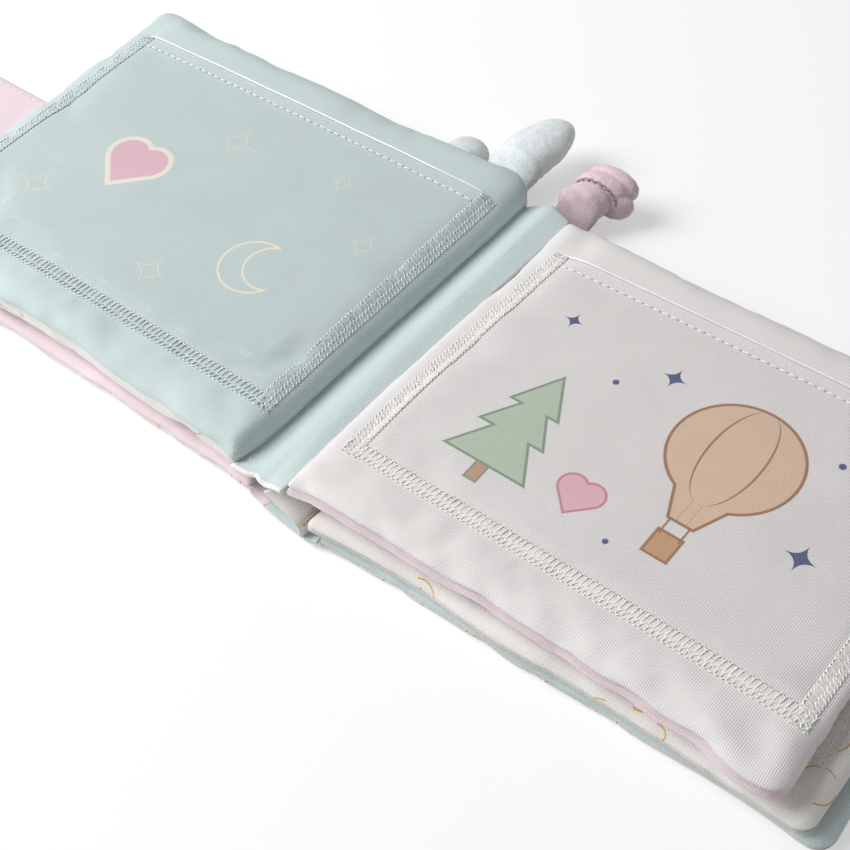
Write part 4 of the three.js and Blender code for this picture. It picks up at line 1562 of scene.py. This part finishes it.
class ALBUM_OT_stitches(bpy.types.Operator):
    """Makes the chain stitching in the valleys and on the ridge"""

    bl_idname = "album.stitches"
    bl_label = "Stitched lines"

    # Chain of two strands: step along it, twist and radius; pull of the third valley's near end
    STEP = 0.45
    TWIST = 2.3
    RADIUS = 0.34
    FOOT_PULL = -2.4

    def execute(self, context):
        lines = (
            ("leaf_1_valley_stitch", (VALLEY_1[0] - 0.1, 13.3), -79.6, 68.0, "sage", "leaf_1", 0.3),
            ("leaf_2_ridge_stitch", (RIDGE_2[0] + 0.8, 19.3), -79.5, 64.0, "ivory", "leaf_2", 0.25),
            ("leaf_3_valley_stitch", VALLEY_3, -81.8, 65.0, "tan", "leaf_3", 0.5),
        )
        for name, (x, z), near, far, thread, body, spread in lines:
            bundle = Bundle()
            for strand in range(2):
                path = []
                for y in np.arange(near, far, self.STEP):
                    turn = y * self.TWIST + strand * math.pi
                    pull, sunk = self.shift(body, y)
                    across, above = spread * math.sin(turn), spread * 0.8 * math.cos(turn)
                    path.append((x + pull + across, y, z - sunk + above))
                bundle.tube(path, self.RADIUS, 0, sides=5)
            if body == "leaf_1":
                self.tail(bundle, x + 0.3, near - 0.6, z + 1.7)
            line = bundle.piece(f"{name}_chain", [f"thread_{thread}", "thread_ivory"])
            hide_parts(name)
            if body == "leaf_1":
                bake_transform(line)
            elif body == "leaf_2":
                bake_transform(line)
            else:
                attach(line, body)
        return {"FINISHED"}

    def shift(self, body, y):
        """How far a line is moved across, by its near end's pull or the gutter's lean, and down."""
        if body == "leaf_1":
            return valley_pull(y) + VALLEY_LEAN * far_lean(y), 0.0
        if body == "leaf_3":
            return self.FOOT_PULL * foot_sag(y), FOOT_SINK * foot_sag(y)
        return far_lean(y), 0.0

    def tail(self, bundle, x, y, z):
        """The loose loops of chain at the near end of the first valley."""
        bends, gain, loop_width, loop_length, lift, radius = 60, 0.15, 0.8, 0.7, 0.3, 0.28
        path = []
        for k in range(bends + 1):
            turn = k * math.pi / 8
            along = y + k * gain + loop_length * math.cos(turn)
            across = x + valley_pull(along) + loop_width * math.sin(turn)
            path.append((across, along, z + lift * math.sin(turn / 2)))
        bundle.tube(path, radius, 1)


def rounded_slab(name, x, y, z, corner, looks, crown=0.12):
    """A thin slab with round corners and a slight crown."""
    middle, thick = (z[0] + z[1]) / 2, z[1] - z[0]
    columns, edge, groove = 14, 0.6, 0.05
    panel = Panel(x, y, (z[0], middle, z[1]), min(edge, thick), (corner,) * 4, 1, crown=crown)
    points, faces, *_ = pad_skin(panel, (x[1] - x[0]) / columns, groove)
    return new_piece(name, points, faces, looks)


class ALBUM_OT_strap(bpy.types.Operator):
    """Makes the closing strap with its hook patch, and the loop patch on the back cover"""

    bl_idname = "album.strap"
    bl_label = "Closing strap"

    # Root of the strap: its length, how much thinner it gets, how far it reaches under the cover and rises;
    # height and scale of the strap's quilting
    ROOT = 9.0
    ROOT_THINNER = 0.55
    ROOT_UNDER = 0.9
    ROOT_RISE = 1.4
    QUILT = 0.25
    QUILT_SCALE = 0.08

    # Topstitching: distance from the edge, end beside the cover, corner radius, points in a dash, points from
    # one dash to the next, distance between points, height and arch of a dash, and the thread's radius
    STITCH_INSET = 3
    STITCH_END = -209.0
    STITCH_CORNER = 11.0
    DASH = 6
    DASH_PITCH = 8
    DASH_STEP = 0.5
    DASH_ABOVE = 0.02
    DASH_ARCH = 0.16
    THREAD = 0.24

    # Patches: corner radius, how far the hook patch is let in, heights of the loop patch
    PATCH_CORNER = 2.5
    HOOK_SUNK = 0.25
    LOOP_HEIGHTS = (-0.35, 0.3)

    def execute(self, context):
        points, faces = self.pad()
        self.topstitch(BVHTree.FromPolygons([tuple(p) for p in points], faces))
        self.patches()
        return {"FINISHED"}

    def pad(self):
        """The strap itself, thin at its root."""
        points, faces, indices, _, knit = pad_skin(STRAP, 2.6, size("groove") * 0.7)
        for k, (x, y, z) in enumerate(points):
            root = max(0.0, 1 - (STRAP.x1 - x) / self.ROOT) ** 2
            thin = 1 - self.ROOT_THINNER * root
            wave = noise.noise(Vector((x * self.QUILT_SCALE, y * self.QUILT_SCALE, 5.0)))
            quilt = self.QUILT * wave * min(1.0, abs(z - STRAP.seam))
            height = STRAP.seam + self.ROOT_RISE * root + (z - STRAP.seam) * thin + quilt
            points[k] = x + self.ROOT_UNDER * root, y, height
        points[:, 2] = np.maximum(points[:, 2], 0.0)
        looks = ["jersey_pink", "jersey_cream_cream"]
        strap = new_piece("closing_strap_pad", points, faces, looks, indices, knit)
        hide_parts("closing_strap_inner_cloth", "closing_strap_outer_cloth")
        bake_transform(strap)
        return points, faces

    def topstitch(self, tree):
        """Dashes of thread on the strap's upper face, along its edge."""
        inset, corner = self.STITCH_INSET, self.STITCH_CORNER
        rim = Panel(
            (STRAP.x0 + inset, self.STITCH_END), (STRAP.y0 + inset, STRAP.y1 - inset),
            (STRAP.low, STRAP.seam, STRAP.high), STRAP.edge, (1.0, corner, corner, 1.0), -1,
        )
        route = [(rim.x1, rim.y1), (rim.x0, rim.y1), (rim.x0, rim.y0), (rim.x1, rim.y0)]
        flat = []
        for start, end in zip(route, route[1:]):
            for share in np.linspace(0, 1, int(math.dist(start, end) / self.DASH_STEP)):
                x, y = (a + share * (b - a) for a, b in zip(start, end))
                flat.append(rim.cornered(x, y)[:2])
        bundle = Bundle()
        for first in range(0, len(flat) - self.DASH, self.DASH_PITCH):
            path = []
            for n, (x, y) in enumerate(flat[first : first + self.DASH]):
                hit = tree.ray_cast(Vector((x, y, 50)), Vector((0, 0, -1)))[0]
                arch = self.DASH_ARCH * math.sin(math.pi * n / (self.DASH - 1))
                path.append((x, y, hit.z + self.DASH_ABOVE + arch))
            bundle.tube(path, self.THREAD)
        topstitch = bundle.piece("closing_strap_topstitch", ["thread_pink"])
        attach(topstitch, "closing_strap")

    def spans(self, node):
        """A solid's ends in X, Y and Z, in millimetres."""
        low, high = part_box(node)
        return [(start / MM, end / MM) for start, end in zip(low, high)]

    def patches(self):
        """The hook patch on the strap and the loop patch that it grips on the back cover."""
        corner = self.PATCH_CORNER
        x, y, (low, high) = self.spans("hook_patch")
        hook = rounded_slab("hook_patch_tape", x, y, (low - self.HOOK_SUNK, high), corner, ["hook_tape"])
        x, y, _ = self.spans("loop_patch")
        loop = rounded_slab("loop_patch_tape", x, y, self.LOOP_HEIGHTS, corner, ["loop_tape"], crown=0.0)
        for piece, node, body in ((hook, "hook_patch", "closing_strap"), (loop, "loop_patch", "base")):
            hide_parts(node)
            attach(piece, body)


def plush_limb(name, root, tip, half, thick, centre, lift, swell, pinch, material, seed, blunt=5, waist=0.0):
    """A stuffed plush limb out along Y: sewn flat at its root, swelling, and round at its tip. Centre gives
    the height of its middle line at the root and beyond, and pinch the share of its thickness that the root
    keeps."""
    rings, sides = 40, 48
    root_share, waist_place, waist_width = 0.3, 0.5, 0.1
    fold_depth, fold_scale, fuzz_scale, fine_scale = 0.5, 0.11, 0.9, 2.1
    points = []
    reach = tip[1] - root[1]
    for k in range(rings):
        t = k / rings
        end = math.sqrt(max(0.0, 1 - t**blunt))
        narrow = waist * math.exp(-(((t - waist_place) / waist_width) ** 2))
        body = (1 + (swell - 1) * math.sin(math.pi * t) - narrow) * end
        past_root = min(t / root_share, 1.0)
        open_out = pinch + (1 - pinch) * math.sin(past_root * math.pi / 2)
        x = root[0] + t * (tip[0] - root[0])
        z = centre[0] + (centre[1] - centre[0]) * past_root + lift * t
        for s in range(sides):
            angle = 2 * math.pi * s / sides
            spot = Vector((
                x + half * body * (0.85 + 0.15 * open_out) * math.sin(angle),
                root[1] + t * reach,
                z + thick * body * open_out * math.cos(angle),
            ))
            fold = fold_depth * noise.noise(spot * fold_scale + Vector((seed, 0, 0)))
            fuzz = 0.6 * noise.noise(spot * fuzz_scale) + 0.4 * noise.noise(spot * fine_scale)
            away = Vector((math.sin(angle), 0.0, math.cos(angle)))
            points.append(spot + away * (fold + size("pile") * fuzz) * end)
    last = len(points)
    points.append(Vector((root[0], root[1], centre[0])))
    points.append(Vector((tip[0], tip[1], centre[1] + lift)))
    faces = []
    for s in range(sides):
        following = (s + 1) % sides
        faces.append((last, following, s))
        outer = (rings - 1) * sides
        faces.append((last + 1, outer + s, outer + following))
        for k in range(rings - 1):
            a, b = k * sides + s, k * sides + following
            faces.append((a, b, b + sides, a + sides))
    return new_piece(name, points, faces, [material])


class ALBUM_OT_tabs(bpy.types.Operator):
    """Makes the plush tabs behind the spine"""

    bl_idname = "album.tabs"
    bl_label = "Plush tabs"

    # Stitching round the pink tab: middle in X, Y and Z, half width and half height, wobble and radius
    WAIST = (1.6, 91.6, 10.8)
    WAIST_HALF = (8.9, 6.9)
    WAIST_WOBBLE = 0.5
    WAIST_THREAD = 0.4

    def execute(self, context):
        mint = plush_limb(
            "mint_plush_limb", root=(-33.5, 77.6), tip=(-26.5, 114.4), half=9.6, thick=6.2,
            centre=(3.5, 10.0), lift=5.0, swell=1.1, pinch=0.3, material="plush_mint", seed=1.0,
        )
        grey = plush_limb(
            "grey_plush_limb", root=(-54, 77.2), tip=(-52, 93.2), half=8.0, thick=6.0, centre=(3.5, 6.6),
            lift=1.0, swell=1.1, pinch=0.35, material="plush_grey", seed=2.0,
        )
        pink = plush_limb(
            "pink_plush_limb", root=(-2, 80.8), tip=(2.4, 96.0), half=8.3, thick=6.4, centre=(1.9, 9.6),
            lift=1.6, swell=1.04, pinch=0.2, material="plush_pink", seed=3.0,
        )
        end = plush_limb(
            "pink_plush_knot", root=(1.2, 91.6), tip=(5.5, 102.4), half=9.6, thick=7.0, centre=(11.0, 11.0),
            lift=1.6, swell=1.06, pinch=0.85, material="plush_pink", seed=4.0, blunt=14, waist=0.1,
        )
        lobe = plush_limb(
            "pink_plush_lobe", root=(6.2, 90.6), tip=(11.2, 98.6), half=4.8, thick=4.6, centre=(8.2, 8.2),
            lift=0.4, swell=1.3, pinch=0.75, material="plush_pink", seed=5.0,
        )
        for piece, node, slot in (
            (mint, "mint_plush_tab", "mint_plush"),
            (grey, "grey_plush_tab", "grey_plush"),
            (pink, "pink_plush_tab", "pink_plush"),
            (end, "pink_plush_tab_end", "pink_plush"),
            (lobe, "pink_plush_tab_end", "pink_plush"),
        ):
            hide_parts(node)
        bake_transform(mint)
        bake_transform(grey)
        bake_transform(pink)
        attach(end, "pink_tab")
        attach(lobe, "pink_tab")
        self.waist_stitch()
        return {"FINISHED"}

    def waist_stitch(self):
        """The thread wound round the pink tab's waist."""
        x, y, z = self.WAIST
        half_x, half_z = self.WAIST_HALF
        turns = 80
        path = []
        for k in range(turns + 1):
            angle = 2 * math.pi * k / turns
            wobble = self.WAIST_WOBBLE * math.sin(k * math.pi / 2)
            path.append((x + half_x * math.sin(angle), y + wobble, z + half_z * math.cos(angle)))
        bundle = Bundle()
        bundle.tube(path, self.WAIST_THREAD, 0, up=Vector((0, 1, 0)))
        waist = bundle.piece("pink_plush_waist_stitch", ["thread_lilac"])
        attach(waist, "pink_tab")


class ALBUM_OT_stage(bpy.types.Operator):
    """Makes the floor, the light and the camera"""

    bl_idname = "album.stage"
    bl_label = "Stage"

    # Floor: half its width and its height in metres, its grey to the light and to the camera, the glow that
    # keeps it pale, and where it fades out
    FLOOR_HALF_M = 3.0
    FLOOR_Z_M = -0.0006
    FLOOR_GREY = 0.97
    FLOOR_SEEN_GREY = 0.58
    FLOOR_GLOW = 0.42
    FLOOR_FADE = (450.0, 950.0)

    # Light: the share of the white surroundings that lights the album, and the lamp
    AMBIENT = 0.3
    KEY_WATTS = 23.5
    KEY_SIZE_M = 0.9
    KEY_PLACE_M = (-0.95, -0.5, 1.05)

    # Camera: width of the picture, focal length and lowered middle in pixels, width of the sensor and place
    # in millimetres, and directions
    PICTURE = 850
    FOCAL = 1500
    LOWERED = 105
    SENSOR = 36.0
    EYE = (229.96, -257.09, 385.81)
    EYE_RIGHT = (0.778377, 0.625190, -0.057158)
    EYE_UP = (-0.483453, 0.655004, 0.580726)
    EYE_BACK = (0.400503, -0.424391, 0.812090)

    def execute(self, context):
        context.scene.view_settings.view_transform = "Standard"
        self.floor(context.scene)
        self.surroundings(context.scene)
        self.key_light(context.scene)
        self.camera(context.scene)
        return {"FINISHED"}

    def floor(self, scene):
        """A pale floor that keeps the shadow and fades into the white background."""
        half, z = self.FLOOR_HALF_M, self.FLOOR_Z_M
        mesh = bpy.data.meshes.new("floor")
        corners = [(-half, -half, z), (half, -half, z), (half, half, z), (-half, half, z)]
        mesh.from_pydata(corners, [], [(0, 1, 2, 3)])
        material, shader, wire = new_finish("floor")
        seen = wire.node("ShaderNodeLightPath", output="Is Camera Ray")
        x, y, _ = place_wires(wire)
        feed(
            wire,
            shader,
            colour=seen.mixed((self.FLOOR_GREY,) * 3, (self.FLOOR_SEEN_GREY,) * 3),
            glow=seen.mixed((0.0, 0.0, 0.0), (self.FLOOR_GLOW,) * 3),
            alpha=(x * x + y * y).root().eased(*self.FLOOR_FADE, 1.0, 0.0),
        )
        set_sockets(shader, roughness=1.0, emission_strength=1.0)
        shader.inputs["Specular IOR Level"].default_value = 0.0
        mesh.materials.append(material)
        floor = bpy.data.objects.new("floor", mesh)
        scene.collection.objects.link(floor)

    def surroundings(self, scene):
        """White where it is seen, reflected or seen through, and dimmer as a light."""
        world = bpy.data.worlds.new("studio")
        scene.world = world
        world.use_nodes = True
        tree = world.node_tree
        background = next(node for node in tree.nodes if node.type == "BACKGROUND")
        wire = Wire(tree)
        rays = wire.node("ShaderNodeLightPath").socket.node.outputs
        shown = Wire(tree, rays["Is Camera Ray"])
        for kind in ("Is Glossy Ray", "Is Transmission Ray"):
            shown = shown.higher(Wire(tree, rays[kind]))
        background.inputs["Color"].default_value = (1.0, 1.0, 1.0, 1.0)
        strength = self.AMBIENT + shown * (1.0 - self.AMBIENT)
        tree.links.new(strength.socket, background.inputs["Strength"])

    def key_light(self, scene):
        """A square lamp from the near left."""
        key = bpy.data.lights.new("key", "AREA")
        key.energy = self.KEY_WATTS
        key.size = self.KEY_SIZE_M
        lamp = bpy.data.objects.new("key", key)
        lamp.location = self.KEY_PLACE_M
        lamp.rotation_euler = Vector(lamp.location).to_track_quat("Z", "Y").to_euler()
        scene.collection.objects.link(lamp)

    def camera(self, scene):
        """A camera whose view has its middle below the middle of the picture."""
        camera = bpy.data.cameras.new("camera")
        camera.sensor_fit = "HORIZONTAL"
        camera.sensor_width = self.SENSOR
        camera.lens = self.SENSOR * self.FOCAL / self.PICTURE
        camera.shift_y = self.LOWERED / self.PICTURE
        camera.clip_start = 0.01
        eye = bpy.data.objects.new("camera", camera)
        turn = Matrix((self.EYE_RIGHT, self.EYE_UP, self.EYE_BACK)).transposed().to_4x4()
        eye.matrix_world = Matrix.Translation(Vector(self.EYE) * MM) @ turn
        scene.collection.objects.link(eye)
        scene.camera = eye


STEPS = ("stage", "leaves", "covers", "windows", "spine", "gussets", "stitches", "strap", "tabs")


class ALBUM_PT_album(bpy.types.Panel):
    """Lists the steps that make the album"""

    bl_idname = "ALBUM_PT_album"
    bl_label = "Album"
    bl_space_type = "VIEW_3D"
    bl_region_type = "UI"
    bl_category = "Album"

    def draw(self, context):
        for group in (context.scene.album_colours, context.scene.album_sizes):
            for key in group.__annotations__:
                self.layout.prop(group, key)
        for step in STEPS:
            self.layout.operator(f"album.{step}")


CLASSES = (
    AlbumColours,
    AlbumSizes,
    ALBUM_OT_stage,
    ALBUM_OT_leaves,
    ALBUM_OT_covers,
    ALBUM_OT_windows,
    ALBUM_OT_spine,
    ALBUM_OT_gussets,
    ALBUM_OT_stitches,
    ALBUM_OT_strap,
    ALBUM_OT_tabs,
    ALBUM_PT_album,
)


def register():
    for item in CLASSES:
        bpy.utils.register_class(item)
    bpy.types.Scene.album_colours = bpy.props.PointerProperty(type=AlbumColours)
    bpy.types.Scene.album_sizes = bpy.props.PointerProperty(type=AlbumSizes)


def unregister():
    del bpy.types.Scene.album_sizes
    del bpy.types.Scene.album_colours
    for item in reversed(CLASSES):
        bpy.utils.unregister_class(item)


def main():
    register()
    for step in STEPS:
        getattr(bpy.ops.album, step)()


if __name__ == "__main__":
    main()
